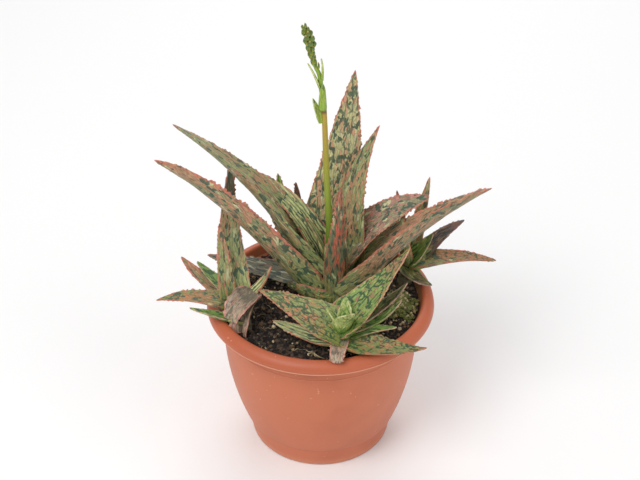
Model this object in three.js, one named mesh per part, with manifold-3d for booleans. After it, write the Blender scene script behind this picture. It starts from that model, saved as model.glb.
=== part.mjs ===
// Potted pink blush aloe: one large rosette, four small offsets round it and a budding
// flower stalk, growing in a round plastic nursery pot filled with soil.
// Millimetres, +Z up. The origin is the middle of the pot's flat base and the front is -Y.

import * as THREE from 'three';
import { mergeVertices } from 'three/addons/utils/BufferGeometryUtils.js';
import Module from 'manifold-3d';

const wasm = await Module();
wasm.setup();

// Driving dimensions

// Pot
const potHeight = 89;
const rimRadius = 60;
const mouthRadius = 55;
const rimDrop = 5.4;
const potWall = 1.2;
const neckRadius = 51.1;
const stepRadius = 41.4;
const stepHeight = 13.7;
const bodyBulge = 4;
const footTopRadius = 40.1;
const baseRadius = 38;
const drainRadius = 3.5;
const drainCircle = 24;
const potSides = 48;

// Soil
const soilLevel = 83.5;
const soilRise = 3;
const soilRelief = 1.2;
const soilSides = 36;

// Fit between touching pieces
const fit = 0.3;

// Leaves
const marginThickness = 0.7;
const toothHeight = 1.1;
const toothPitch = 6;
const midribSteps = 48;

// Colours
const potColour = 0xc4704a;
const soilColour = 0x3a322b;
const stemColour = 0x8d8a63;
const leafColour = 0x8f9468;
const youngColour = 0x86a04e;
const darkColour = 0x5d4a44;
const dryColour = 0xa08472;
const stalkColour = 0x93a83f;

// Geometry helpers

const rad = THREE.MathUtils.degToRad;

// Turns a closed geometry into a solid that can be joined and cut.
function toSolid(geometry) {
  const bare = geometry.clone();
  bare.deleteAttribute('normal');
  bare.deleteAttribute('uv');
  const merged = mergeVertices(bare, 1e-4);
  const mesh = new wasm.Mesh({
    numProp: 3,
    vertProperties: new Float32Array(merged.attributes.position.array),
    triVerts: new Uint32Array(merged.index.array),
  });
  return new wasm.Manifold(mesh);
}

// Turns a solid back into a geometry with flat-shaded normals.
function toGeometry(solid) {
  const mesh = solid.getMesh();
  const geometry = new THREE.BufferGeometry();
  geometry.setAttribute('position', new THREE.BufferAttribute(mesh.vertProperties.slice(), 3));
  geometry.setIndex(new THREE.BufferAttribute(mesh.triVerts.slice(), 1));
  geometry.computeVertexNormals();
  return geometry;
}

function toMesh(name, solid, colour, roughness = 0.55) {
  const material = new THREE.MeshStandardMaterial({ color: colour, roughness, metalness: 0 });
  material.flatShading = true;
  const mesh = new THREE.Mesh(toGeometry(solid), material);
  mesh.name = name;
  return mesh;
}

// A solid of revolution about Z from a closed profile of [radius, height] pairs.
function revolve(profile, sides) {
  const points = profile.map(([r, z]) => new THREE.Vector2(r, z));
  const geometry = new THREE.LatheGeometry(points, sides);
  geometry.rotateX(Math.PI / 2);
  return geometry;
}

// A round limb along a path, with a radius at every point and closed ends.
function limb(path, radii, sides) {
  const positions = [];
  const index = [];
  const last = path.length - 1;
  const side = new THREE.Vector3();
  const up = new THREE.Vector3();
  path.forEach((point, i) => {
    const before = path[Math.max(i - 1, 0)];
    const after = path[Math.min(i + 1, last)];
    const along = after.clone().sub(before).normalize();
    side.set(1, 0, 0).addScaledVector(along, -along.x).normalize();
    up.crossVectors(along, side);
    for (let k = 0; k < sides; k += 1) {
      const turn = (2 * Math.PI * k) / sides;
      const spot = point.clone();
      spot.addScaledVector(side, radii[i] * Math.cos(turn));
      spot.addScaledVector(up, radii[i] * Math.sin(turn));
      positions.push(spot.x, spot.y, spot.z);
    }
  });
  positions.push(path[0].x, path[0].y, path[0].z, path[last].x, path[last].y, path[last].z);
  const foot = path.length * sides;
  for (let i = 0; i < last; i += 1) {
    for (let k = 0; k < sides; k += 1) {
      const a = i * sides + k;
      const b = i * sides + ((k + 1) % sides);
      index.push(a, b, b + sides, a, b + sides, a + sides);
    }
  }
  for (let k = 0; k < sides; k += 1) {
    const next = (k + 1) % sides;
    index.push(foot, next, k);
    index.push(foot + 1, last * sides + k, last * sides + next);
  }
  const geometry = new THREE.BufferGeometry();
  geometry.setAttribute('position', new THREE.Float32BufferAttribute(positions, 3));
  geometry.setIndex(index);
  return geometry;
}

function vector([x, y, z]) {
  return new THREE.Vector3(x, y, z);
}

// Leaves

// A leaf starts at its root, leaves it at a heading (degrees from +X) and a rise (degrees
// above level), and turns by its sweep and bend on the way to the tip, the bend later the
// higher its ease. Its blade is channelled by cup degrees at each margin, clasps the stem at
// the root, rolls about its midrib, thickens to a keel below and carries forward-pointing
// teeth on both margins.
const leafDefaults = {
  sweep: 0,
  bend: 0,
  ease: 1,
  thick: 4,
  cup: 35,
  roll: 0,
  twist: 0,
  taper: 0.62,
  clasp: 9,
  blunt: 0,
  colour: leafColour,
};

// The directions along, across and out of the blade at the fraction s of the way to the tip.
function leafFrame(leaf, s) {
  const yaw = rad(leaf.heading + leaf.sweep * s);
  const pitch = rad(leaf.rise + leaf.bend * s ** leaf.ease);
  const roll = rad(leaf.roll + leaf.twist * s);
  const flat = new THREE.Vector3(Math.sin(yaw), -Math.cos(yaw), 0);
  const level = Math.cos(pitch);
  const along = new THREE.Vector3(level * Math.cos(yaw), level * Math.sin(yaw), Math.sin(pitch));
  const lift = new THREE.Vector3().crossVectors(flat, along);
  const across = flat.clone().multiplyScalar(Math.cos(roll)).addScaledVector(lift, Math.sin(roll));
  const out = lift.multiplyScalar(Math.cos(roll)).addScaledVector(flat, -Math.sin(roll));
  return { along, across, out };
}

function midrib(leaf) {
  const points = [vector(leaf.root)];
  for (let i = 0; i < midribSteps; i += 1) {
    const { along } = leafFrame(leaf, (i + 0.5) / midribSteps);
    points.push(points[i].clone().addScaledVector(along, leaf.length / midribSteps));
  }
  return points;
}

function midribAt(points, s) {
  const place = s * midribSteps;
  const i = Math.min(Math.floor(place), midribSteps - 1);
  return points[i].clone().lerp(points[i + 1], place - i);
}

function halfWidth(leaf, s) {
  const flare = 0.82 + 0.18 * THREE.MathUtils.smoothstep(s, 0, 0.2);
  return (leaf.width / 2) * flare * ((1 - s) ** leaf.taper * (1 - leaf.blunt) + leaf.blunt);
}

// A blade as one closed surface. With grow above 0 it is the same blade, larger all round,
// which cuts the clearance for this leaf out of its neighbours.
function blade(leaf, grow = 0) {
  const ribPoints = midrib(leaf);
  const teeth = Math.max(4, Math.round(leaf.length / toothPitch));
  const rows = Math.max(4, Math.round(leaf.length / 11));
  const wide = leaf.width > 10;
  const topColumns = wide ? [-1, -0.45, 0.45, 1] : [-1, 0, 1];
  const bottomColumns = wide ? [1, 0.5, -0.5, -1] : [1, 0, -1];
  const toothSize = Math.min(toothHeight, leaf.width * 0.09);
  const positions = [];
  const index = [];

  function addPoint(s, u, under, outward) {
    const half = halfWidth(leaf, s) + grow;
    const near = Math.max(0, 1 - s / 0.35) ** 2;
    const bendRate = THREE.MathUtils.lerp(rad(leaf.cup) * (2 / leaf.width), 1 / leaf.clasp, near);
    const angle = bendRate * u * half;
    const frame = leafFrame(leaf, s);
    const keel = marginThickness + (leaf.thick - marginThickness) * (1 - s) ** 0.8;
    const depth = under ? marginThickness + (keel - marginThickness) * (1 - u * u) + grow : -grow;
    let x = Math.sin(angle) / bendRate + Math.sin(angle) * depth;
    let y = (1 - Math.cos(angle)) / bendRate - Math.cos(angle) * depth;
    x += Math.cos(angle) * Math.sign(u) * outward;
    y += Math.sin(Math.abs(angle)) * outward;
    const spot = midribAt(ribPoints, s);
    spot.addScaledVector(frame.across, x);
    spot.addScaledVector(frame.out, y);
    positions.push(spot.x, spot.y, spot.z);
    return { id: positions.length / 3 - 1, s, flat: new THREE.Vector2(x, y) };
  }

  const tipFrame = leafFrame(leaf, 1);
  const tipSpot = midribAt(ribPoints, 1);
  tipSpot.addScaledVector(tipFrame.along, grow);
  tipSpot.addScaledVector(tipFrame.out, -marginThickness / 2);
  positions.push(tipSpot.x, tipSpot.y, tipSpot.z);
  const tip = { id: 0, s: 1 };

  function column(u, under) {
    const points = [];
    const isMargin = Math.abs(u) === 1;
    const count = isMargin ? teeth : rows;
    for (let i = 0; i < count; i += 1) {
      const s = (i / count) * 0.985;
      points.push(addPoint(s, u, under, 0));
      if (isMargin) {
        const shrink = 1 - 0.55 * s;
        points.push(addPoint(s + 0.6 / count, u, under, toothSize * shrink));
      }
    }
    points.push(tip);
    return points;
  }

  const columns = [
    ...topColumns.map((u) => column(u, false)),
    ...bottomColumns.map((u) => column(u, true)),
  ];

  // Zips two columns of different lengths together with triangles.
  function zip(left, right) {
    let i = 0;
    let j = 0;
    while (i < left.length - 1 || j < right.length - 1) {
      const nextLeft = i < left.length - 1 ? left[i + 1].s : Infinity;
      const nextRight = j < right.length - 1 ? right[j + 1].s : Infinity;
      if (nextLeft < nextRight) {
        index.push(left[i].id, right[j].id, left[i + 1].id);
        i += 1;
      } else {
        if (left[i].id !== right[j + 1].id) {
          index.push(left[i].id, right[j].id, right[j + 1].id);
        }
        j += 1;
      }
      if (left[i].id === right[j].id) {
        break;
      }
    }
  }
  columns.forEach((points, i) => zip(points, columns[(i + 1) % columns.length]));

  const ring = columns.map((points) => points[0]);
  const contour = ring.map((point) => point.flat);
  const clockwise = THREE.ShapeUtils.isClockWise(contour);
  THREE.ShapeUtils.triangulateShape(contour, []).forEach(([a, b, c]) => {
    const face = clockwise ? [c, b, a] : [a, b, c];
    const [p, q, r] = face.map((k) => contour[k]);
    const turn = (q.x - p.x) * (r.y - p.y) - (q.y - p.y) * (r.x - p.x);
    const ids = face.map((k) => ring[k].id);
    index.push(...(turn > 0 ? ids : ids.reverse()));
  });

  const geometry = new THREE.BufferGeometry();
  geometry.setAttribute('position', new THREE.Float32BufferAttribute(positions, 3));
  geometry.setIndex(index);
  return geometry;
}

const leaves = [
  // Main rosette, from the heart outwards
  {
    name: 'main_leaf_heart_left', root: [3, 10, 108], heading: 165, rise: 72, bend: -20,
    length: 24, width: 9, thick: 3, colour: youngColour,
  },
  {
    name: 'main_leaf_upper_left_inner', root: [3, 13, 101], heading: 151, sweep: 4, rise: 67, bend: -44,
    length: 64, width: 20, thick: 4, roll: 10,
  },
  {
    name: 'main_leaf_right_upper', root: [10, 8, 98], heading: 16, sweep: -8, rise: 74, bend: -67,
    length: 66, width: 28, thick: 5, cup: 35, roll: -6, twist: -25,
  },
  {
    name: 'main_leaf_right_back', root: [14, 12, 101], heading: 61, sweep: -24, rise: 96, bend: -45,
    length: 80, width: 28, thick: 4, cup: 25, roll: -15, twist: 18, taper: 0.86,
  },
  {
    name: 'main_leaf_back_tall', root: [4, 19, 98], heading: 59, rise: 75, bend: 1,
    length: 105, width: 40, thick: 5, cup: 25, roll: -10, twist: -5, taper: 0.84,
  },
  {
    name: 'main_leaf_upper_left', root: [-2, 12, 100], heading: 175, sweep: 15, rise: 63, bend: -24,
    length: 114, width: 37, thick: 6, cup: 48, roll: 5, twist: -22, taper: 0.57,
  },
  {
    name: 'main_leaf_lower_left', root: [-4, 5, 91], heading: -176, sweep: 9, rise: 53, bend: -22, ease: 3,
    length: 117, width: 25, thick: 6, cup: 45, roll: -28, twist: -44, taper: 0.65,
  },
  {
    name: 'main_leaf_right_lower', root: [16, 3, 91], heading: -7, sweep: -21, rise: 56, bend: -17,
    length: 105, width: 38, thick: 6, cup: 60, twist: 20, taper: 0.47,
  },
  {
    name: 'main_leaf_front', root: [8, -1, 90], heading: -85, sweep: 7, rise: 84, bend: -8,
    length: 76, width: 16, thick: 5, cup: 35, taper: 0.8,
  },
  {
    name: 'main_leaf_back_left', root: [1, 17, 94], heading: 136, sweep: -14, rise: 16, bend: 16,
    length: 55, width: 20, thick: 5, roll: 15,
  },
  {
    name: 'main_leaf_back', root: [6, 19, 95], heading: 88, sweep: -15, rise: 50, bend: -9,
    length: 70, width: 22, thick: 5,
  },
  {
    name: 'main_leaf_back_right', root: [12, 16, 93], heading: 42, rise: 26, bend: -16,
    length: 52, width: 20, thick: 5,
  },
  {
    name: 'main_leaf_low_left', root: [0, 9, 90], heading: 164, rise: 2, bend: 4,
    length: 64, width: 19, thick: 5, roll: 12,
  },
  {
    name: 'main_leaf_stub', root: [2, -1, 88], heading: -172, sweep: -8, rise: 34, bend: -20,
    length: 23, width: 17, thick: 7, roll: -35, taper: 0.5, blunt: 0.4,
  },

  // Left offset
  {
    name: 'left_leaf_tall', root: [-43, -13, 99], heading: 108, sweep: -29, rise: 48, bend: 10,
    length: 70, width: 18, thick: 5, roll: -12, taper: 0.8,
  },
  {
    name: 'left_leaf_green', root: [-44, -13, 97], heading: 139, rise: 9, bend: 19,
    length: 29, width: 11, thick: 2.5, colour: youngColour,
  },
  {
    name: 'left_leaf_dark', root: [-45, -14, 95], heading: 147, sweep: -4, rise: 10, bend: 24,
    length: 37, width: 13, thick: 3.5,
  },
  {
    name: 'left_leaf_tall_small', root: [-48, -15, 97], heading: 106, rise: 73,
    length: 41, width: 10, thick: 3,
  },
  {
    name: 'left_leaf_outer', root: [-45, -18, 95], heading: 171, sweep: 3, rise: 20, bend: -43,
    length: 42, width: 14, thick: 4, roll: 3, twist: 12, taper: 0.74,
  },
  {
    name: 'left_leaf_low', root: [-39, -25, 91], heading: 180, rise: 10, bend: 12,
    length: 29, width: 8, thick: 3, colour: youngColour,
  },
  {
    name: 'left_leaf_small', root: [-38, -15, 98], heading: 23, rise: 32, bend: 34,
    length: 21, width: 8, thick: 3,
  },
  {
    name: 'left_leaf_drooping', root: [-36, -17, 101], heading: -130, rise: 10, bend: -80,
    length: 20, width: 17, thick: 4, cup: 50, taper: 0.5, blunt: 0.3, colour: dryColour,
  },

  // Front offset
  {
    name: 'front_leaf_heart', root: [11, -41, 100], heading: -75, rise: 62, bend: -10,
    length: 17, width: 12, thick: 4, taper: 0.5, blunt: 0.35, colour: youngColour,
  },
  {
    name: 'front_leaf_right', root: [10, -39, 97], heading: 31, sweep: -2, rise: 36, bend: 11,
    length: 54, width: 27, thick: 4, roll: -10, twist: 21, taper: 0.86, colour: youngColour,
  },
  {
    name: 'front_leaf_left', root: [10, -42, 96], heading: 157, sweep: 5, rise: 26, bend: -13,
    length: 47, width: 26, thick: 4, roll: 26, twist: -10, taper: 0.86, colour: youngColour,
  },
  {
    name: 'front_leaf_low_right', root: [13, -43, 93], heading: -19, sweep: 5, rise: -9, bend: 30,
    length: 42, width: 21, thick: 4, roll: -11, twist: 18, taper: 0.77,
  },
  {
    name: 'front_leaf_dark', root: [14, -36, 96], heading: 25, sweep: 10, rise: 9, bend: 26,
    length: 38, width: 10, thick: 3, colour: darkColour,
  },
  {
    name: 'front_leaf_thin', root: [16, -38, 95], heading: 14, sweep: 20, rise: 4, bend: 34,
    length: 30, width: 7, thick: 2.5, colour: youngColour,
  },
  {
    name: 'front_leaf_short', root: [17, -40, 94], heading: 4, rise: 20, bend: -24,
    length: 22, width: 9, thick: 3, colour: youngColour,
  },
  {
    name: 'front_leaf_low_left', root: [7, -42, 92], heading: 161, sweep: -2, rise: -6, bend: 23,
    length: 34, width: 15, thick: 3, roll: 9, twist: 9, taper: 0.76,
  },
  {
    name: 'front_leaf_drooping', root: [10, -45, 94], heading: -100, rise: 8, bend: -45,
    length: 16, width: 10, thick: 3, taper: 0.5, blunt: 0.2, colour: dryColour,
  },

  // Right offset
  {
    name: 'right_leaf_outer', root: [51, 15, 98], heading: -3, sweep: -6, rise: 21, bend: -30,
    length: 43, width: 14, thick: 4, roll: -8, twist: -5, taper: 0.72,
  },
  {
    name: 'right_leaf_heart', root: [49, 14, 101], heading: 2, rise: 54, bend: 9,
    length: 19, width: 15, thick: 3, roll: -10, taper: 0.7, colour: youngColour,
  },
  {
    name: 'right_leaf_upright', root: [48, 18, 100], heading: 53, rise: 69, bend: 3,
    length: 45, width: 12, thick: 3.5, taper: 0.7,
  },
  {
    name: 'right_leaf_hooked', root: [52, 18, 98], heading: 38, sweep: -3, rise: 39, bend: -37,
    length: 35, width: 13, thick: 3, roll: -5, twist: -5, taper: 0.7, colour: darkColour,
  },
  {
    name: 'right_leaf_inner', root: [47, 15, 99], heading: -135, rise: 70, bend: 22,
    length: 36, width: 9, thick: 3,
  },
  {
    name: 'right_leaf_back', root: [46, 19, 99], heading: 110, rise: 61, bend: 6,
    length: 36, width: 8, thick: 2.5,
  },
  {
    name: 'right_leaf_dry', root: [46, 12, 96], heading: -70, sweep: 60, rise: -4, bend: -10,
    length: 18, width: 12, thick: 3, colour: darkColour,
  },

  // Back offset
  {
    name: 'back_leaf_left', root: [-18, 43, 97], heading: 157, rise: 82,
    length: 38, width: 10, thick: 3, colour: youngColour,
  },
  {
    name: 'back_leaf_middle', root: [-13, 42, 98], heading: -2, rise: 84, bend: 14,
    length: 33, width: 10, thick: 3,
  },
  {
    name: 'back_leaf_outer', root: [-16, 45, 95], heading: 95, rise: 28, bend: -25,
    length: 30, width: 12, thick: 3.5,
  },
].map((leaf) => ({ ...leafDefaults, ...leaf }));

// Stems

const stems = [
  { name: 'main_stem', foot: [8, 9, 68], top: [5, 11, 110], radius: 7 },
  { name: 'left_stem', foot: [-37, -27, 70], top: [-42, -14, 101], radius: 4 },
  { name: 'front_stem', foot: [11, -37, 70], top: [12, -40, 101], radius: 4.5 },
  { name: 'right_stem', foot: [42, 13, 73], top: [49, 16, 102], radius: 4 },
  { name: 'back_stem', foot: [-16, 38, 70], top: [-16, 43, 100], radius: 3.5 },
];

// A short woody stem with a domed top.
function stemSolid(stem, grow = 0) {
  const foot = vector(stem.foot);
  const top = vector(stem.top);
  const along = [0, 0.35, 0.7, 0.9, 1];
  const girth = [1, 1, 0.85, 0.65, 0.3];
  const path = along.map((s) => foot.clone().lerp(top, s));
  path[0].z -= grow;
  path[path.length - 1].z += grow;
  const radii = girth.map((part) => stem.radius * part + grow);
  return toSolid(limb(path, radii, 9));
}

// Flower stalk

const stalkPath = [
  [4.5, 10, 104], [4.4, 10, 125], [3.5, 10, 146], [2.7, 10, 166], [1.7, 10, 195],
  [0.4, 10, 206], [-0.5, 10, 214], [-2.5, 10, 219], [-4, 10, 224], [-4.5, 10, 229],
  [-6, 10, 235], [-8, 10, 240.5],
].map(vector);
const stalkRadii = [2, 1.7, 1.6, 1.5, 1.3, 1.2, 1.1, 1, 1, 1.2, 1.3, 0.6];
const bracts = [
  { root: [1, 9, 194], heading: 190, rise: 70, bend: 0, length: 10, width: 3 },
  { root: [1, 9, 198], heading: 10, rise: 78, bend: 8, length: 9, width: 4 },
  { root: [-0.5, 9, 209], heading: 185, rise: 72, bend: -10, length: 13, width: 3 },
  { root: [-0.5, 9, 214], heading: -10, rise: 85, bend: 6, length: 11, width: 3.4 },
  { root: [-3, 9, 220], heading: 170, rise: 70, bend: 0, length: 7, width: 2.6 },
];
const budCount = 16;

function stalkSolid() {
  let solid = toSolid(limb(stalkPath, stalkRadii, 7));
  for (const bract of bracts) {
    solid = solid.add(toSolid(blade({ ...leafDefaults, thick: 1.2, clasp: 4, ...bract }, 0.01)));
  }
  const curve = new THREE.CatmullRomCurve3(stalkPath.slice(-5));
  for (let i = 0; i < budCount; i += 1) {
    const t = 0.12 + (0.86 * i) / (budCount - 1);
    const turn = rad(137.5 * i);
    const bud = new THREE.SphereGeometry(1, 5, 4);
    const size = 1.5 - 0.5 * t;
    bud.scale(size, size, size * 1.9);
    bud.rotateX(-rad(28));
    bud.translate(0, size * 0.9, 0);
    bud.rotateZ(turn);
    const place = curve.getPointAt(t);
    bud.translate(place.x, place.y, place.z);
    solid = solid.add(toSolid(bud));
  }
  return solid;
}

// Pot and soil

function potBodyRadius(z) {
  const t = (z - stepHeight) / (potHeight - rimDrop - 1 - stepHeight);
  return THREE.MathUtils.lerp(stepRadius, neckRadius, t) + bodyBulge * 4 * t * (1 - t);
}

function potSolid() {
  const outer = [[0, 0], [baseRadius - 0.8, 0], [baseRadius, 0.8]];
  outer.push([footTopRadius, stepHeight - 1], [stepRadius, stepHeight]);
  const inner = [];
  const neck = potHeight - rimDrop - 1;
  const bodyRows = 6;
  for (let i = 1; i <= bodyRows; i += 1) {
    const z = THREE.MathUtils.lerp(stepHeight, neck, i / bodyRows);
    outer.push([potBodyRadius(z), z]);
  }
  for (let i = 0; i <= 4; i += 1) {
    const turn = (Math.PI / 2) * (i / 4);
    const reach = mouthRadius + (rimRadius - mouthRadius) * Math.cos(turn);
    inner.push([reach, potHeight - rimDrop + rimDrop * Math.sin(turn)]);
  }
  inner.push([mouthRadius - 0.9, potHeight - 0.5]);
  inner.push([mouthRadius - 1.6, potHeight - 2.5]);
  for (let i = bodyRows; i >= 0; i -= 2) {
    const z = THREE.MathUtils.lerp(stepHeight + potWall, neck - 3, i / bodyRows);
    inner.push([potBodyRadius(z) - potWall, z]);
  }
  inner.push([footTopRadius - potWall, stepHeight - 1 + potWall]);
  inner.push([baseRadius - potWall, potWall], [0, potWall]);
  const lip = [rimRadius - potWall, potHeight - rimDrop];
  let solid = toSolid(revolve([...outer, lip, ...inner], potSides));
  for (let i = 0; i < 4; i += 1) {
    const hole = new THREE.CylinderGeometry(drainRadius, drainRadius, 4, 12);
    hole.rotateX(Math.PI / 2);
    hole.translate(drainCircle * Math.cos(rad(45 + 90 * i)), drainCircle * Math.sin(rad(45 + 90 * i)), 0.5);
    solid = solid.subtract(toSolid(hole));
  }
  return solid;
}

// Height of the soil's surface, mounded to the right and slightly uneven.
function soilHeight(x, y) {
  const mound = soilRise * Math.exp(-((x - 30) ** 2 + (y + 8) ** 2) / 500);
  const crumbs = Math.sin(x * 0.55 + 1.3) * Math.cos(y * 0.6) + 0.6 * Math.sin(x * 0.23 - y * 0.31);
  return soilLevel + mound + (soilRelief / 2) * crumbs;
}

function soilSolid() {
  const profile = [[0, potWall + fit], [baseRadius - potWall - 0.5, potWall + fit]];
  profile.push([footTopRadius - potWall - 0.4, stepHeight]);
  for (let i = 1; i <= 4; i += 1) {
    const z = THREE.MathUtils.lerp(stepHeight, soilLevel - 4, i / 4);
    profile.push([potBodyRadius(z) - potWall - 0.5, z]);
  }
  const edge = mouthRadius - 3;
  const top = soilLevel;
  const rings = 6;
  for (let i = rings; i >= 0; i -= 1) {
    profile.push([(edge * i) / rings, top]);
  }
  const geometry = revolve(profile, soilSides);
  const position = geometry.attributes.position;
  for (let i = 0; i < position.count; i += 1) {
    if (position.getZ(i) > soilLevel - 0.01) {
      position.setZ(i, soilHeight(position.getX(i), position.getY(i)));
    }
  }
  return toSolid(geometry);
}

// Assembly

// The largest single body of a solid, so that no loose scrap of a cut is kept.
function largestBody(solid) {
  return solid.decompose().reduce((best, body) => (body.volume() > best.volume() ? body : best));
}

function boxesMeet(a, b) {
  const first = a.boundingBox();
  const second = b.boundingBox();
  return [0, 1, 2].every((k) => first.min[k] < second.max[k] && second.min[k] < first.max[k]);
}

const plant = new THREE.Group();

const clearances = [];
function keepClear(solid) {
  let rest = solid;
  for (const clearance of clearances) {
    if (boxesMeet(rest, clearance)) {
      rest = rest.subtract(clearance);
    }
  }
  return largestBody(rest);
}

plant.add(toMesh('flower_stalk', stalkSolid(), stalkColour));
clearances.push(toSolid(limb(stalkPath, stalkRadii.map((r) => r + fit), 7)));

for (const stem of stems) {
  plant.add(toMesh(stem.name, keepClear(stemSolid(stem)), stemColour, 0.8));
  clearances.push(stemSolid(stem, fit));
}

for (const leaf of leaves) {
  plant.add(toMesh(leaf.name, keepClear(toSolid(blade(leaf))), leaf.colour));
  clearances.push(toSolid(blade(leaf, fit)));
}

plant.add(toMesh('pot', potSolid(), potColour, 0.5));
let soil = soilSolid();
for (const clearance of clearances) {
  soil = soil.subtract(clearance);
}
plant.add(toMesh('soil', largestBody(soil), soilColour, 0.95));

export default plant;
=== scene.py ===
import math
import random
from collections import namedtuple

import bmesh
import bpy
from mathutils import Matrix, Quaternion, Vector, noise


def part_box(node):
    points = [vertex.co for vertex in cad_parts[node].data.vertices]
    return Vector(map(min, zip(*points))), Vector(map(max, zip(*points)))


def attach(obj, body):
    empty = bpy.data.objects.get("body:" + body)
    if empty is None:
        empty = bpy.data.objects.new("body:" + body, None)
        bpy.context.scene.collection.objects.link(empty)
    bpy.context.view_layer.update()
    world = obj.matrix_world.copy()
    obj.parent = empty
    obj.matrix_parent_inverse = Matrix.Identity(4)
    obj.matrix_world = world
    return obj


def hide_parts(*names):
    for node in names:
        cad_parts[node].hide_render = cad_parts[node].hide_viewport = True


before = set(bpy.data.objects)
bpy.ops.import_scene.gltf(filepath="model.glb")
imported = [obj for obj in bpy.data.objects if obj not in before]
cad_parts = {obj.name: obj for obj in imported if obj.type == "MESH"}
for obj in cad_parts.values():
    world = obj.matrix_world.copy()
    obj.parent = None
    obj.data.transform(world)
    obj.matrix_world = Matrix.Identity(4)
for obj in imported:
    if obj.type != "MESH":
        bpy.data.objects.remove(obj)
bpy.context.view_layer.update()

bl_info = {
    "name": "Potted pink blush aloe",
    "version": (1, 0, 0),
    "blender": (4, 5, 0),
    "location": "View3D > Sidebar > Aloe",
    "description": "Dresses a packed potted aloe with toothed, mottled leaves, soil, pot and studio",
    "category": "Add Mesh",
}

MM = 0.001
POT_LOW, POT_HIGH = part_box("pot")
POT_HEIGHT = (POT_HIGH[2] - POT_LOW[2]) / MM
RIM_RADIUS = (POT_HIGH[0] - POT_LOW[0]) / 2 / MM


def shade(code):
    """A hex colour as Blender's linear red, green, blue and alpha."""
    parts = [int(code[i:i + 2], 16) / 255 for i in (0, 2, 4)]
    linear = [p / 12.92 if p <= 0.04045 else ((p + 0.055) / 1.055) ** 2.4 for p in parts]
    return (*linear, 1.0)


def colour_setting(name, code, description):
    return bpy.props.FloatVectorProperty(
        name=name, description=description, subtype="COLOR", size=4,
        min=0, max=1, default=shade(code))


def length_setting(name, metres, description):
    return bpy.props.FloatProperty(
        name=name, description=description, subtype="DISTANCE", unit="LENGTH", default=metres)


def count_setting(name, count, description, least=1):
    return bpy.props.IntProperty(name=name, description=description, default=count, min=least)


class AloePotSettings(bpy.types.PropertyGroup):
    """Sizes and colours of the pot."""
    lip_drop: length_setting("Lip drop", 0.0054, "Height of the rounded lip")
    wall: length_setting("Wall", 0.0012, "Thickness of the pot's wall")
    ring_drop: length_setting("Ring drop", 0.0165, "Depth of the fine ring below the rim")
    ring_height: length_setting("Ring relief", 0.00022, "How far the fine ring stands out")
    steps: count_setting("Steps", 160, "Steps round the pot", 48)
    body: colour_setting("Body", "C9724E", "Moulded terracotta-coloured plastic")
    rim: colour_setting("Rim", "BF6340", "The redder plastic round the rim")
    # The scuff colour also paints the highlight along the lip's lower edge
    scuff_and_highlight: colour_setting("Scuff", "E2A988", "Pale rubbed marks and dust")
    dirt: colour_setting("Dirt", "857654", "Dry soil and algae on the inner wall")


class AloeSoilSettings(bpy.types.PropertyGroup):
    """Sizes and colours of the potting mix."""
    crumb_relief: length_setting("Crumb relief", 0.0014, "Height of the clods on the surface")
    perlite: count_setting("Perlite", 230, "White grains")
    crumbs: count_setting("Crumbs", 1300, "Loose crumbs")
    chips: count_setting("Chips", 260, "Bark chips")
    roots: count_setting("Roots", 46, "Fine dry roots")
    moss: count_setting("Moss", 1700, "Tufts in the moss cushion")
    dark: colour_setting("Dark soil", "211C19", "Damp potting mix")
    light: colour_setting("Light soil", "6A5748", "Drier potting mix")
    grain: colour_setting("Grain", "DCCDA6", "Perlite grains")
    bark: colour_setting("Bark", "7D6145", "Bark chips")
    root: colour_setting("Root", "B0A078", "Dry roots")
    moss_low: colour_setting("Moss foot", "23291A", "Moss near the soil")
    moss_high: colour_setting("Moss tip", "8C9150", "Moss at its tips")


class AloeLeafSettings(bpy.types.PropertyGroup):
    """Sizes and colours of the leaves."""
    step: length_setting("Step", 0.00055, "Spacing of the rows of a blade")
    columns: count_setting("Columns", 28, "Columns round a blade, a multiple of four")
    tooth_pitch: length_setting("Tooth pitch", 0.0027, "Mean spacing of the teeth")
    tooth_height: length_setting("Tooth height", 0.00115, "Height of a large tooth")
    relief: length_setting("Relief", 0.00016, "Height of the ridges along a blade")
    waviness: length_setting("Waviness", 0.0006, "How far a margin wanders")
    ground: colour_setting("Ground", "A0A56D", "Sage green between the markings")
    streak: colour_setting("Streak", "C58B6C", "Pinkish brown streaks")
    blotch: colour_setting("Blotch", "3B5643", "Dark green blotches")
    fleck: colour_setting("Fleck", "CDCE9E", "Pale flecks")
    foot: colour_setting("Foot", "A3B56E", "Yellow-green at a leaf's foot")
    margin: colour_setting("Margin", "C6735E", "Coral of the toothed margins")
    tip: colour_setting("Tip", "9A5A45", "Reddish brown tips")


class AloeStalkSettings(bpy.types.PropertyGroup):
    """Sizes and colours of the flower stalk."""
    sides: count_setting("Sides", 20, "Sides round the stalk")
    buds: count_setting("Buds", 38, "Flower buds")
    bud_length: length_setting("Bud length", 0.0058, "Length of a lower bud")
    low: colour_setting("Foot", "5A7F28", "Stalk at its foot")
    middle: colour_setting("Middle", "94A63C", "Stalk in its middle")
    joint: colour_setting("Joint", "B39A3C", "Ochre below the first bract")
    high: colour_setting("Top", "8DB23E", "Stalk among the buds")
    bud: colour_setting("Bud", "73893C", "Flower buds")
    bud_tip: colour_setting("Bud tip", "4D6834", "Tips of the buds")


class AloeStageSettings(bpy.types.PropertyGroup):
    """Floor, camera and lights."""
    floor: colour_setting("Floor", "F6F6F6", "Pale studio floor")
    distance: length_setting("Distance", 0.75, "Camera to the middle of the plant")
    aim: length_setting("Aim", 0.1232, "Height that the camera looks at")
    lens: bpy.props.FloatProperty(name="Lens", description="Focal length", default=82.0)
    elevation: bpy.props.FloatProperty(
        name="Elevation", description="Angle above the horizon", subtype="ANGLE",
        default=math.radians(35.8))


GROUPS = {
    "aloe_pot": AloePotSettings,
    "aloe_soil": AloeSoilSettings,
    "aloe_leaves": AloeLeafSettings,
    "aloe_stalk": AloeStalkSettings,
    "aloe_stage": AloeStageSettings,
}


# Shader helpers

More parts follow.
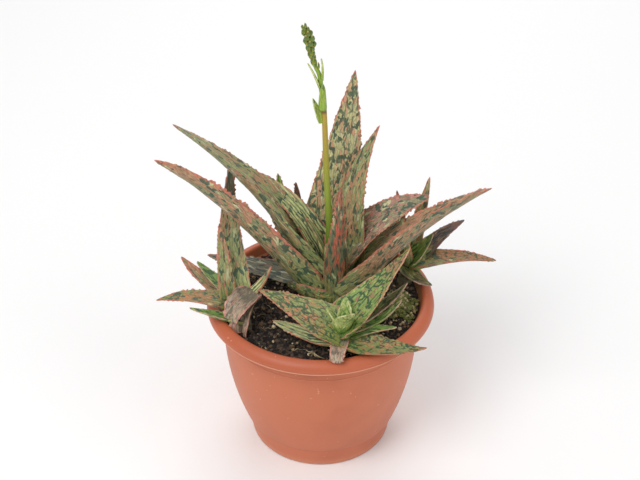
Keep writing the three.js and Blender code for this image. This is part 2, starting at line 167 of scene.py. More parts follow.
def feed(tree, socket, value):
    """Joins a socket to another node's output, or sets it to a plain value."""
    if isinstance(value, bpy.types.NodeSocket):
        tree.links.new(value, socket)
    else:
        socket.default_value = value


def put(tree, kind, inputs=None, **settings):
    """Adds a shader node, sets it up, and joins or fills its inputs."""
    node = tree.nodes.new("ShaderNode" + kind)
    for key, value in settings.items():
        setattr(node, key, value)
    for key, value in (inputs or {}).items():
        feed(tree, node.inputs[key], value)
    return node


def calc(tree, operation, *values):
    return put(tree, "Math", dict(enumerate(values)), operation=operation).outputs[0]


def times(tree, first, second):
    return calc(tree, "MULTIPLY", first, second)


def minus(tree, first, second):
    return calc(tree, "SUBTRACT", first, second)


def sway(tree, value, amount, base):
    """The base, moved by the amount times what the value lies above a half."""
    return calc(tree, "MULTIPLY_ADD", minus(tree, value, 0.5), amount, base)


def fade(tree, value, low, high):
    """0 where value is at low and 1 where it is at high, with a soft change between."""
    inputs = {"Value": value, "From Min": low, "From Max": high}
    return put(tree, "MapRange", inputs, interpolation_type="SMOOTHSTEP").outputs["Result"]


def blend(tree, factor, first, second):
    """The first colour, changed into the second by the factor."""
    node = put(tree, "Mix", data_type="RGBA")
    for place, value in ((0, factor), (6, first), (7, second)):
        feed(tree, node.inputs[place], value)
    return node.outputs[2]


def vector_sum(tree, operation, inputs):
    return put(tree, "VectorMath", inputs, operation=operation).outputs[0]


def cloud(tree, place, scale, detail=2.0, dimensions="3D"):
    inputs = {"Vector": place, "Scale": scale, "Detail": detail}
    return put(tree, "TexNoise", inputs, noise_dimensions=dimensions).outputs["Fac"]


def flat_cloud(tree, place, x, y, detail=1.0):
    """A noise on the plane, with x and y as its scales across and along."""
    stretched = vector_sum(tree, "MULTIPLY", {0: place, 1: (x, y, 1.0)})
    return cloud(tree, stretched, 1.0, detail, "2D")


def new_group(name, inputs, outputs):
    """A shader group with its sockets: (tree, its inputs' node, its outputs' node)."""
    tree = bpy.data.node_groups.new(name, "ShaderNodeTree")
    for label, kind, value in inputs:
        socket = tree.interface.new_socket(label, in_out="INPUT", socket_type="NodeSocket" + kind)
        if value is not None:
            socket.default_value = value
    for label, kind in outputs:
        tree.interface.new_socket(label, in_out="OUTPUT", socket_type="NodeSocket" + kind)
    return tree, tree.nodes.new("NodeGroupInput"), tree.nodes.new("NodeGroupOutput")


def place_group(tree, name, inputs):
    return put(tree, "Group", inputs, node_tree=bpy.data.node_groups[name])


def make_mottle_group():
    """Broad and fine changes of tone, for plastic, soil, stems and stalk."""
    tree, given, result = new_group(
        "Mottle",
        [("Place", "Vector", None), ("Base", "Color", None), ("Second", "Color", None),
         ("Broad", "Float", 60.0), ("Fine", "Float", 900.0), ("Share", "Float", 0.5),
         ("Grit", "Float", 0.1)],
        [("Color", "Color"), ("Height", "Float")])
    broad = cloud(tree, given.outputs["Place"], given.outputs["Broad"], 4.0)
    level = minus(tree, 1.0, given.outputs["Share"])
    low = minus(tree, level, 0.12)
    high = calc(tree, "ADD", level, 0.12)
    mask = fade(tree, broad, low, high)
    fine = cloud(tree, given.outputs["Place"], given.outputs["Fine"], 2.0)
    tone = sway(tree, fine, given.outputs["Grit"], 1.0)
    mixed = blend(tree, mask, given.outputs["Base"], given.outputs["Second"])
    toned = vector_sum(tree, "SCALE", {0: mixed, "Scale": tone})
    tree.links.new(toned, result.inputs["Color"])
    tree.links.new(fine, result.inputs["Height"])


def long_cells(tree, place, width, length):
    """Cells drawn out along the blade: (random colour, centre in mm, distance to the wall)."""
    size = put(tree, "CombineXYZ", {0: width, 1: length, 2: 1.0}).outputs[0]
    inputs = {"Vector": vector_sum(tree, "DIVIDE", {0: place, 1: size}), "Scale": 1.0, "Randomness": 0.95}
    cell = put(tree, "TexVoronoi", inputs, voronoi_dimensions="2D", feature="F1").outputs
    wall = put(tree, "TexVoronoi", inputs, voronoi_dimensions="2D", feature="DISTANCE_TO_EDGE").outputs
    centre = vector_sum(tree, "MULTIPLY", {0: cell["Position"], 1: size})
    return put(tree, "SeparateXYZ", {0: cell["Color"]}).outputs, centre, wall["Distance"]


def make_blade_group():
    """Streaked cells, dark squiggles, flecks, foot stripes and coral margin of a blade."""
    tree, given, result = new_group(
        "Blade markings",
        [("Place", "Vector", None), ("Edge", "Float", 10.0), ("Span", "Float", 0.5),
         ("Ground", "Color", None), ("Streak", "Color", None), ("Blotch", "Color", None),
         ("Fleck", "Color", None), ("Foot", "Color", None), ("Margin", "Color", None),
         ("Tip", "Color", None), ("Cell width", "Float", 0.9), ("Cell length", "Float", 5.4),
         ("Streak share", "Float", 0.5), ("Squiggle", "Float", 0.024), ("Blotch level", "Float", 0.65),
         ("Fleck share", "Float", 0.1), ("Net", "Float", 0.3), ("Net size", "Float", 2.0),
         ("Stripes", "Float", 0.4), ("Foot end", "Float", 0.34), ("Margin width", "Float", 0.42),
         ("Tip start", "Float", 0.96)],
        [("Color", "Color"), ("Height", "Float"), ("Bloom", "Float")])
    take = given.outputs

    # The place wanders a little, so that no marking runs dead straight
    stretched = vector_sum(tree, "MULTIPLY", {0: take["Place"], 1: (0.25, 0.08, 1.0)})
    inputs = {"Vector": stretched, "Scale": 1.0, "Detail": 2.0}
    wander = put(tree, "TexNoise", inputs, noise_dimensions="2D").outputs["Color"]
    drift = vector_sum(tree, "SUBTRACT", {0: wander, 1: (0.5, 0.5, 0.5)})
    place = vector_sum(tree, "MULTIPLY_ADD", {0: drift, 1: (2.4, 5.0, 0.0), 2: take["Place"]})

    # Long cells are green or brownish, each to its own degree, and more so in some reaches
    chance, centre, wall = long_cells(tree, place, take["Cell width"], take["Cell length"])
    reach = flat_cloud(tree, centre, 0.10, 0.035)
    lean = sway(tree, reach, 1.5, chance[0])
    level = minus(tree, 1.0, take["Streak share"])
    streaks = fade(tree, minus(tree, lean, level), -0.1, 0.1)
    amount = times(tree, streaks, calc(tree, "MULTIPLY_ADD", chance[2], 0.55, 0.5))
    colour = blend(tree, amount, take["Ground"], take["Streak"])
    over = minus(tree, chance[1], minus(tree, 1.0, take["Fleck share"]))
    flecks = fade(tree, over, -0.01, 0.01)
    colour = blend(tree, times(tree, flecks, 0.8), colour, take["Fleck"])
    edge_line = times(tree, fade(tree, wall, 0.13, 0.02), 0.42)
    colour = blend(tree, edge_line, colour, take["Blotch"])

    # The foot is paler, with narrow dark stripes along it
    foot = fade(tree, take["Span"], take["Foot end"], 0.03)
    stripe = put(tree, "SeparateXYZ", {0: place}).outputs[0]
    stripe = calc(tree, "SINE", times(tree, stripe, 3.2))
    stripe = times(tree, fade(tree, stripe, 0.0, 0.45), take["Stripes"])
    base = blend(tree, times(tree, stripe, 0.95), take["Foot"], take["Blotch"])
    cover = calc(tree, "MULTIPLY_ADD", take["Stripes"], 0.3, 0.6)
    colour = blend(tree, times(tree, foot, cover), colour, base)

    # Towards the tip the blade may be brown or dry
    end = minus(tree, take["Span"], take["Tip start"])
    colour = blend(tree, times(tree, fade(tree, end, -0.01, 0.03), 0.8), colour, take["Tip"])

    # Dark squiggles follow the level lines of a noise, cut up into small long cells
    short_width = times(tree, take["Cell width"], 0.72)
    short_length = times(tree, take["Cell length"], 0.42)
    luck, spot, _ = long_cells(tree, place, short_width, short_length)
    lines = flat_cloud(tree, spot, 0.21, 0.14)
    off = calc(tree, "ABSOLUTE", minus(tree, lines, 0.5))
    off = sway(tree, luck[0], 0.03, off)
    squiggles = fade(tree, minus(tree, off, take["Squiggle"]), 0.004, -0.004)
    present = flat_cloud(tree, spot, 0.09, 0.06)
    squiggles = times(tree, squiggles, fade(tree, present, 0.40, 0.46))
    patch = flat_cloud(tree, spot, 0.24, 0.16, 1.5)
    patch = sway(tree, luck[1], 0.16, patch)
    blotches = fade(tree, minus(tree, patch, take["Blotch level"]), -0.006, 0.006)

    # The wide net of thick dark walls is broken here and there
    wide_width = times(tree, take["Cell width"], take["Net size"])
    wide_length = times(tree, take["Cell length"], take["Net size"])
    _, _, mesh = long_cells(tree, place, wide_width, wide_length)
    broken = flat_cloud(tree, place, 0.25, 0.16)
    net = times(tree, fade(tree, mesh, 0.15, 0.10), fade(tree, broken, 0.42, 0.48))
    net = times(tree, net, take["Net"])
    dark = calc(tree, "MAXIMUM", calc(tree, "MAXIMUM", squiggles, blotches), net)
    colour = blend(tree, times(tree, dark, 0.9), colour, take["Blotch"])

    # The coral margin varies in width and strength
    run = flat_cloud(tree, take["Place"], 0.5, 0.5, 2.0)
    near = calc(tree, "DIVIDE", take["Edge"], calc(tree, "MAXIMUM", take["Margin width"], 0.01))
    near = sway(tree, run, 3.2, near)
    coral = fade(tree, near, 1.3, 0.5)
    faint = fade(tree, flat_cloud(tree, take["Place"], 0.16, 0.09), 0.36, 0.55)
    coral = times(tree, coral, calc(tree, "MULTIPLY_ADD", faint, 0.6, 0.28))
    colour = blend(tree, coral, colour, take["Margin"])

    # A fine lengthwise grain of tone over everything
    grain = flat_cloud(tree, place, 2.6, 0.35, 3.0)
    tone = sway(tree, grain, 1.1, 1.0)
    toned = vector_sum(tree, "SCALE", {0: colour, "Scale": tone})
    rounded = fade(tree, wall, 0.0, 0.35)
    height = calc(tree, "MULTIPLY_ADD", grain, 0.8, times(tree, rounded, 0.35))
    tree.links.new(toned, result.inputs["Color"])
    tree.links.new(height, result.inputs["Height"])
    tree.links.new(grain, result.inputs["Bloom"])


def new_material(name):
    """A material with its Principled shader: (material, tree, shader)."""
    material = bpy.data.materials.new(name)
    material.use_nodes = True
    tree = material.node_tree
    tree.nodes.clear()
    shader = tree.nodes.new("ShaderNodeBsdfPrincipled")
    output = tree.nodes.new("ShaderNodeOutputMaterial")
    tree.links.new(shader.outputs[0], output.inputs[0])
    return material, tree, shader


def object_place(tree):
    return tree.nodes.new("ShaderNodeTexCoord").outputs["Object"]


def bump(tree, shader, height, distance):
    node = put(tree, "Bump", {"Height": height, "Distance": distance})
    tree.links.new(node.outputs[0], shader.inputs["Normal"])


# Scales of the broad and the fine noise, share of the second colour, strength of the grit,
# roughness, and height of the relief in metres
Tone = namedtuple("Tone", "broad fine share grit rough relief")
TONES = {
    "Soil": Tone(500, 3500, 0.42, 0.9, 0.95, 0.001),
    "Crumb": Tone(420, 4000, 0.5, 1.2, 0.95, 0.0006),
    "Perlite": Tone(260, 3000, 0.5, 0.6, 0.9, 0.0002),
    "Bark": Tone(260, 3000, 0.5, 0.9, 0.9, 0.0004),
    "Dry root": Tone(400, 3000, 0.5, 0.5, 0.85, 0.0001),
    "Stem": Tone(180, 1400, 0.5, 0.5, 0.85, 0.0004),
}


def mottled(name, first, second):
    """A dull material of two colours that change by the place on the object."""
    tone = TONES[name]
    material, tree, shader = new_material(name)
    mottle = place_group(tree, "Mottle", {
        "Place": object_place(tree), "Base": first, "Second": second,
        "Broad": tone.broad, "Fine": tone.fine, "Share": tone.share, "Grit": tone.grit})
    tree.links.new(mottle.outputs["Color"], shader.inputs["Base Color"])
    shader.inputs["Roughness"].default_value = tone.rough
    bump(tree, shader, mottle.outputs["Height"], tone.relief)
    return material


# Mesh helpers

def make_mesh(name, bm):
    mesh = bpy.data.meshes.new(name)
    bm.to_mesh(mesh)
    bm.free()
    return mesh


def add_object(name, data):
    thing = bpy.data.objects.new(name, data)
    bpy.context.scene.collection.objects.link(thing)
    return thing


def new_piece(name, bm, material, node=None, crease=40):
    """Turns a bmesh into a finished piece that rides on the plant and may stand for a node."""
    bmesh.ops.remove_doubles(bm, verts=bm.verts, dist=1e-6)
    bmesh.ops.recalc_face_normals(bm, faces=bm.faces)
    mesh = make_mesh(name, bm)
    mesh.shade_smooth()
    mesh.set_sharp_from_angle(angle=math.radians(crease))
    mesh.materials.append(material)
    piece = add_object(name, mesh)
    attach(piece, "root")
    if node:
        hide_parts(node)
    return piece


def close_ends(bm):
    edges = [edge for edge in bm.edges if edge.is_boundary]
    if edges:
        bmesh.ops.holes_fill(bm, edges=edges, sides=0)


def smooth_path(points, steps):
    """A smooth path of steps + 1 points through a few given ones."""
    points = [Vector(point) for point in points]
    padded = [2 * points[0] - points[1], *points, 2 * points[-1] - points[-2]]
    path = []
    for i in range(steps + 1):
        place = i / steps * (len(points) - 1)
        k = min(int(place), len(points) - 2)
        t = place - k
        a, b, c, d = padded[k:k + 4]
        path.append(0.5 * ((2 * b) + (c - a) * t + (2 * a - 5 * b + 4 * c - d) * t * t
                           + (3 * b - a - 3 * c + d) * t ** 3))
    return path


def spread(values, steps):
    """A few values drawn out evenly over steps + 1 places."""
    out = []
    for i in range(steps + 1):
        place = i / steps * (len(values) - 1)
        k = min(int(place), len(values) - 2)
        out.append(values[k] + (values[k + 1] - values[k]) * (place - k))
    return out


def vector_layer(bm, name):
    layers = bm.verts.layers.float_vector
    return layers.get(name) or layers.new(name)


def draw_out(bm, edges):
    """Extrudes a row of edges: (the new vertices, the new edges)."""
    drawn = bmesh.ops.extrude_edge_only(bm, edges=edges)["geom"]
    return ([item for item in drawn if isinstance(item, bmesh.types.BMVert)],
            [item for item in drawn if isinstance(item, bmesh.types.BMEdge)])


def place_on_ring(vert, flat, point, axis, radius, wrinkle, seed):
    """Puts a vertex on a ring round a point, towards flat, and in or out by its wrinkle."""
    bulge = 1.0
    if wrinkle:
        spot = point + axis @ Vector((flat.x * radius, flat.y * radius, 0))
        bulge += wrinkle * noise.noise(spot * 0.9 + Vector((seed, 0, 0)))
    vert.co = point + axis @ Vector((flat.x * radius * bulge, flat.y * radius * bulge, 0))


def limb(bm, path, radii, sides, wrinkle=0.0, seed=0.0):
    """A round limb along a path in millimetres, drawn out ring by ring, with closed ends."""
    growth = vector_layer(bm, "growth")
    ring = bmesh.ops.create_circle(bm, segments=sides, radius=1.0, cap_ends=True)["verts"]
    edges = list({edge for vert in ring for edge in vert.link_edges})
    axis = (path[1] - path[0]).normalized().to_track_quat("Z", "Y")
    total = sum((b - a).length for a, b in zip(path, path[1:]))
    gone = 0.0
    for i, point in enumerate(path):
        before = path[max(i - 1, 0)]
        along = (path[min(i + 1, len(path) - 1)] - before).normalized()
        axis_before = axis
        axis = (axis @ Vector((0, 0, 1))).rotation_difference(along) @ axis
        if i:
            ring, edges = draw_out(bm, edges)
            gone += (point - before).length
        for vert in ring:
            flat = axis_before.inverted() @ (vert.co - before) / radii[i - 1] if i else vert.co.copy()
            flat.z = 0
            flat.normalize()
            place_on_ring(vert, flat, point, axis, radii[i], wrinkle, seed)
            vert[growth] = (gone, gone / total, 0)
    bmesh.ops.contextual_create(bm, geom=edges)


def to_metres(bm):
    bmesh.ops.scale(bm, vec=(MM, MM, MM), verts=bm.verts)


# Leaves

# How the kinds of leaf differ from the leaf settings and from the shader group's own values
FINISHES = {
    "streaked": dict(),
    "brown": dict(ground="98956A", streak_share=0.74, fleck_share=0.06, margin_width=0.7),
    "patched": dict(ground="C4C08A", streak="D39A7C", cell_width=1.25, cell_length=4.2, squiggle=0.02,
        net=0.8, net_size=2.3, fleck_share=0.14),
    "coral": dict(ground="7C7B58", streak="C8614B", streak_share=0.62, cell_width=0.85, cell_length=7.5,
        squiggle=0.035, fleck_share=0.1, margin_width=0.6),
    "rosy": dict(ground="99906D", streak="C18476", streak_share=0.72, fleck_share=0.05, cell_length=3.2,
        cell_width=1.3, squiggle=0.03, net=0.5),
    "striped": dict(ground="B6BC7C", streak="C4A27A", streak_share=0.4, cell_width=0.95, stripes=1.0,
        foot="D8DE9A", foot_end=1.2, margin_width=0.45),
    "netted": dict(ground="8FA658", streak="B47C62", streak_share=0.28, blotch="2C5233", fleck="A9BC68",
        fleck_share=0.18, net=1.0, cell_width=0.95, cell_length=2.4, net_size=2.4, squiggle=0.006,
        blotch_level=0.7, foot="8CA846", margin="CB8F74", margin_width=0.45),
    "flecked": dict(ground="949A5E", streak="C98862", streak_share=0.45, blotch="31523A",
        fleck="A1AF6C", net=0.8, cell_width=0.95, cell_length=2.2, net_size=2.2, squiggle=0.02,
        blotch_level=0.68, foot="87A046", margin="B8735B"),
    "tan": dict(ground="8C8E56", streak="BC7C54", streak_share=0.66, fleck_share=0.05, cell_width=1.25,
        cell_length=2.6, net=0.45, squiggle=0.018, foot="8FA253"),
    "heart": dict(ground="A4B763", streak="B9BC72", streak_share=0.5, blotch="4F7A38", fleck="C8CE8C",
        fleck_share=0.25, net=0.7, cell_width=0.8, cell_length=1.9, net_size=2.0, squiggle=0.01,
        foot="7FA53C", margin="CDD093", margin_width=0.7),
    "fresh": dict(ground="7A9A44", streak="8FA85A", streak_share=0.4, blotch="2F5630", fleck="B4C77A",
        fleck_share=0.12, stripes=1.0, foot_end=0.6, cell_width=0.7, cell_length=5.0, margin="C39F84",
        margin_width=0.3, foot="8BB04A"),
    "browned": dict(tip="3F312B", tip_start=0.6),
    "dark": dict(ground="5E4A3A", streak="7F4C3A", streak_share=0.55, blotch="2B2823", fleck="8E7A5C",
        cell_width=0.7, squiggle=0.06, foot="7D8A4E", margin="7C4A3C", margin_width=0.3),
    "dusky": dict(ground="75854A", streak="8A6A52", streak_share=0.55, blotch="36442B", fleck="9DA86A",
        cell_width=0.7, squiggle=0.04, foot="7D8F48", margin="CFA593", margin_width=0.4),
    "grey": dict(ground="74745A", streak="957868", streak_share=0.5, blotch="35443B", fleck="BDBCA2",
        fleck_share=0.2, foot="6F7259", cell_width=0.85, cell_length=7.0, squiggle=0.06,
        margin_width=0.45),
    "withered": dict(ground="BCAA8C", streak="DCAA96", streak_share=0.5, blotch="6A6556",
        fleck="B9AE98", net=0.6, cell_width=0.7, cell_length=4.0, squiggle=0.02, foot="877B64",
        margin="D08F80", margin_width=0.7, tip="C9958A", tip_start=0.9, stripes=1.0, foot_end=0.8),
    "bract": dict(ground="A3B84A", streak="C0C46C", streak_share=0.4, blotch="5F8A35", fleck="D2D896",
        cell_width=0.5, squiggle=0.01, foot="9CBB46", margin="CFD290", margin_width=0.2, tip="4B6232",
        tip_start=0.8),
}

MARGIN_THICKNESS = 0.7
TOOTH_BAND = 0.12

# The mesh of a blade in millimetres, with the size of its teeth, ridges and waves
Skin = namedtuple("Skin", "step columns pitch height relief waviness")


def round_off(s, start):
    """1 up to start, then falling round to 0 at the tip."""
    if s <= start:
        return 1.0
    return math.sqrt(max(0.0, 1 - ((s - start) / (1 - start)) ** 2))


class Blade:
    """The form of one leaf in millimetres, as the solid of the same name has it."""

    def __init__(self, name, finish, root, heading, rise, length, width, thick, sweep=0, bend=0,
                 ease=1, cup=35, roll=0, twist=0, taper=0.62, clasp=9, blunt=0, teeth=1.0,
                 foot=4.0, plain=0, torn=0.0, crumple=0.0):
        self.name, self.finish, self.root = name, finish, Vector(root)
        self.heading, self.sweep, self.rise, self.bend, self.ease = heading, sweep, rise, bend, ease
        self.length, self.width, self.thick, self.cup = length, width, thick, cup
        self.roll, self.twist, self.taper = roll, twist, taper
        self.clasp, self.blunt, self.teeth = clasp, blunt, teeth
        self.foot, self.plain, self.torn, self.crumple = foot, plain, torn, crumple
        self.seed = sum(ord(letter) * (i + 1) for i, letter in enumerate(name)) % 997
        self.sections = {}
        self.rib = [self.root]
        self.steps = 96
        for i in range(self.steps):
            along = self.turn((i + 0.5) / self.steps)[0]
            self.rib.append(self.rib[-1] + along * (length / self.steps))

    def turn(self, s):
        """The directions along, across and out of the blade at the share s of its length."""
        s = max(s, 0)
        yaw = math.radians(self.heading + self.sweep * s)
        pitch = math.radians(self.rise + self.bend * s ** self.ease)
        roll = math.radians(self.roll + self.twist * s)
        flat = Vector((math.sin(yaw), -math.cos(yaw), 0))
        along = Vector((math.cos(pitch) * math.cos(yaw), math.cos(pitch) * math.sin(yaw), math.sin(pitch)))
        lift = flat.cross(along)
        across = flat * math.cos(roll) + lift * math.sin(roll)
        return along, across, lift * math.cos(roll) - flat * math.sin(roll)

    def middle(self, s):
        """A point on the midrib, also on the foot below the root, where s is negative."""
        if s < 0:
            return self.root + self.turn(0)[0] * (s * self.length)
        place = s * self.steps
        i = min(int(place), self.steps - 1)
        return self.rib[i].lerp(self.rib[i + 1], place - i)

    def half_width(self, s):
        t = min(max(s / 0.2, 0), 1)
        flare = 0.82 + 0.18 * t * t * (3 - 2 * t)
        root = max(0, -s * self.length / self.foot) if self.foot else 0
        s = max(s, 0)
        half = self.width / 2 * flare * ((1 - s) ** self.taper * (1 - self.blunt) + self.blunt)
        last = 1 - 0.35 * self.blunt * self.width / self.length
        closing = 1 if self.torn else round_off(s, min(last, 0.985))
        return half * closing * (1 - 0.5 * root * root)

    def section(self, s):
        """The section's middle, directions, half width, bend per mm, keel and closing at s."""
        key = round(s, 5)
        if key not in self.sections:
            near = min(1, max(0, 1 - s / 0.35) ** 2)
            rate = math.radians(self.cup) * 2 / self.width * (1 - near) + near / self.clasp
            keel = MARGIN_THICKNESS + (self.thick - MARGIN_THICKNESS) * (1 - max(s, 0)) ** 0.8
            closing = 1 if self.torn else round_off(s, 0.97)
            _, across, out = self.turn(s)
            self.sections[key] = (self.middle(s), across, out, self.half_width(s), rate, keel, closing)
        return self.sections[key]


def tooth_row(chance, blade, skin):
    """Teeth along one margin, each (place from the root, height, half width)."""
    teeth = []
    place = 1.5
    size = min(1.0, 0.45 + blade.width / 40) * blade.teeth
    phase = chance.uniform(0, 99)
    while place < blade.length - 1:
        share = place / blade.length
        swell = 0.75 + 1.1 * noise.noise(Vector((place * 0.11, phase, 0)))
        rise = 0.25 + 0.75 * min(1, max(0, share - 0.25) / 0.3)
        tall = skin.height * chance.uniform(0.2, 1.2) * size
        tall *= (1.1 - 0.5 * share) * rise * max(0.15, swell)
        teeth.append((place, tall, chance.uniform(0.5, 1.15) * (0.5 + 0.5 * size)))
        place += skin.pitch * chance.uniform(0.4, 1.5) * (1 - 0.3 * share)
    return teeth


def tooth_reach(teeth, place):
    """How far the tooth at a place along the margin stands out."""
    reach = 0.0
    for middle, tall, half in teeth:
        t = (place - middle) / half
        t *= 1.35 if t > 0 else 0.85
        if -1 < t < 1:
            reach = max(reach, tall * (1 - t * t) ** 0.7)
    return reach


def torn_at(blade, u, gone):
    """The place along the blade, held back where its torn end is ragged."""
    if not blade.torn:
        return gone
    rag = 0.6 * noise.noise(Vector((u * 1.7, blade.seed, 1)))
    rag += 0.5 * noise.noise(Vector((u * 6, blade.seed, 2)))
    return min(gone, blade.length - blade.torn * (0.5 + rag))


def crumpled(blade, x, along):
    """How far the folds of a dry blade lift a point."""
    if not blade.crumple:
        return 0
    fold = noise.noise(Vector((x * 0.45, along * 0.13, blade.seed)))
    crease = abs(noise.noise(Vector((x * 1.1, along * 0.16, blade.seed + 7))))
    return blade.crumple * (1.6 * fold - 1.5 * crease) * min(1, max(0, along) / 4)


def shape_blade(bm, blade, skin):
    """One leaf: a grid wrapped round the blade's section and drawn out to its tip."""
    seed = blade.seed
    chance = random.Random(seed)
    full = blade.length + blade.foot
    rows = max(12, round(full / skin.step))
    place_layer = vector_layer(bm, "place")
    form_layer = vector_layer(bm, "form")
    grid = bmesh.ops.create_grid(bm, x_segments=skin.columns, y_segments=rows, size=0.5)["verts"]
    rims = [tooth_row(chance, blade, skin) for _ in range(2)]
    by_row = {}
    for vert in grid:
        by_row.setdefault(round((vert.co.y + 0.5) * rows), []).append(vert)
    for row, verts in by_row.items():
        gone = row / rows * full - blade.foot
        reach = [tooth_reach(rim, gone) for rim in rims]
        wave = [skin.waviness * noise.noise(Vector((gone * 0.09, seed, side * 9))) for side in (0, 1)]
        for vert in verts:
            turn = 2 * math.pi * (vert.co.x + 0.5)
            u = -math.cos(turn)
            under = math.sin(turn) < -1e-6
            side = 0 if u < 0 else 1
            along = torn_at(blade, u, gone)
            s = along / blade.length
            middle, across, out, half, rate, keel, closing = blade.section(s)
            half *= 1 + 0.06 * noise.noise(Vector((along * 0.07, seed, 3)))
            edge = max(0.0, 1 - abs(u) ** 8) ** 0.5
            depth = MARGIN_THICKNESS / 2 * (1 + edge if under else 1 - edge)
            if under:
                depth += (keel - MARGIN_THICKNESS) * (1 - u * u)
            depth = MARGIN_THICKNESS / 2 + (depth - MARGIN_THICKNESS / 2) * closing
            spot = Vector((u * half * 0.55, along * 0.10, seed + 40 * under))
            ridge = noise.noise(spot) + 0.6 * noise.noise(Vector((u * half * 1.1, along * 0.35, seed)))
            depth += skin.relief * ridge * edge * closing * (1 if under else -1)
            tooth = reach[side] * max(0, (abs(u) - 1 + TOOTH_BAND) / TOOTH_BAND) ** 2 * closing
            angle = rate * u * half
            x = math.sin(angle) / rate + math.sin(angle) * depth
            y = (1 - math.cos(angle)) / rate - math.cos(angle) * depth
            x += math.copysign(math.cos(angle) * tooth, u)
            y += abs(math.sin(angle)) * tooth + wave[side] * u * u * closing
            y += crumpled(blade, u * half, along)
            vert.co = middle + across * x + out * y
            vert[place_layer] = (u * half + seed * 0.37, along + seed * 1.7, 0)
            bare = 6 if blade.plain * u > 0 else 0
            vert[form_layer] = (half * (1 - abs(u)) - tooth + bare, s, 0.5 * (1 - math.sin(turn)))
    close_ends(bm)


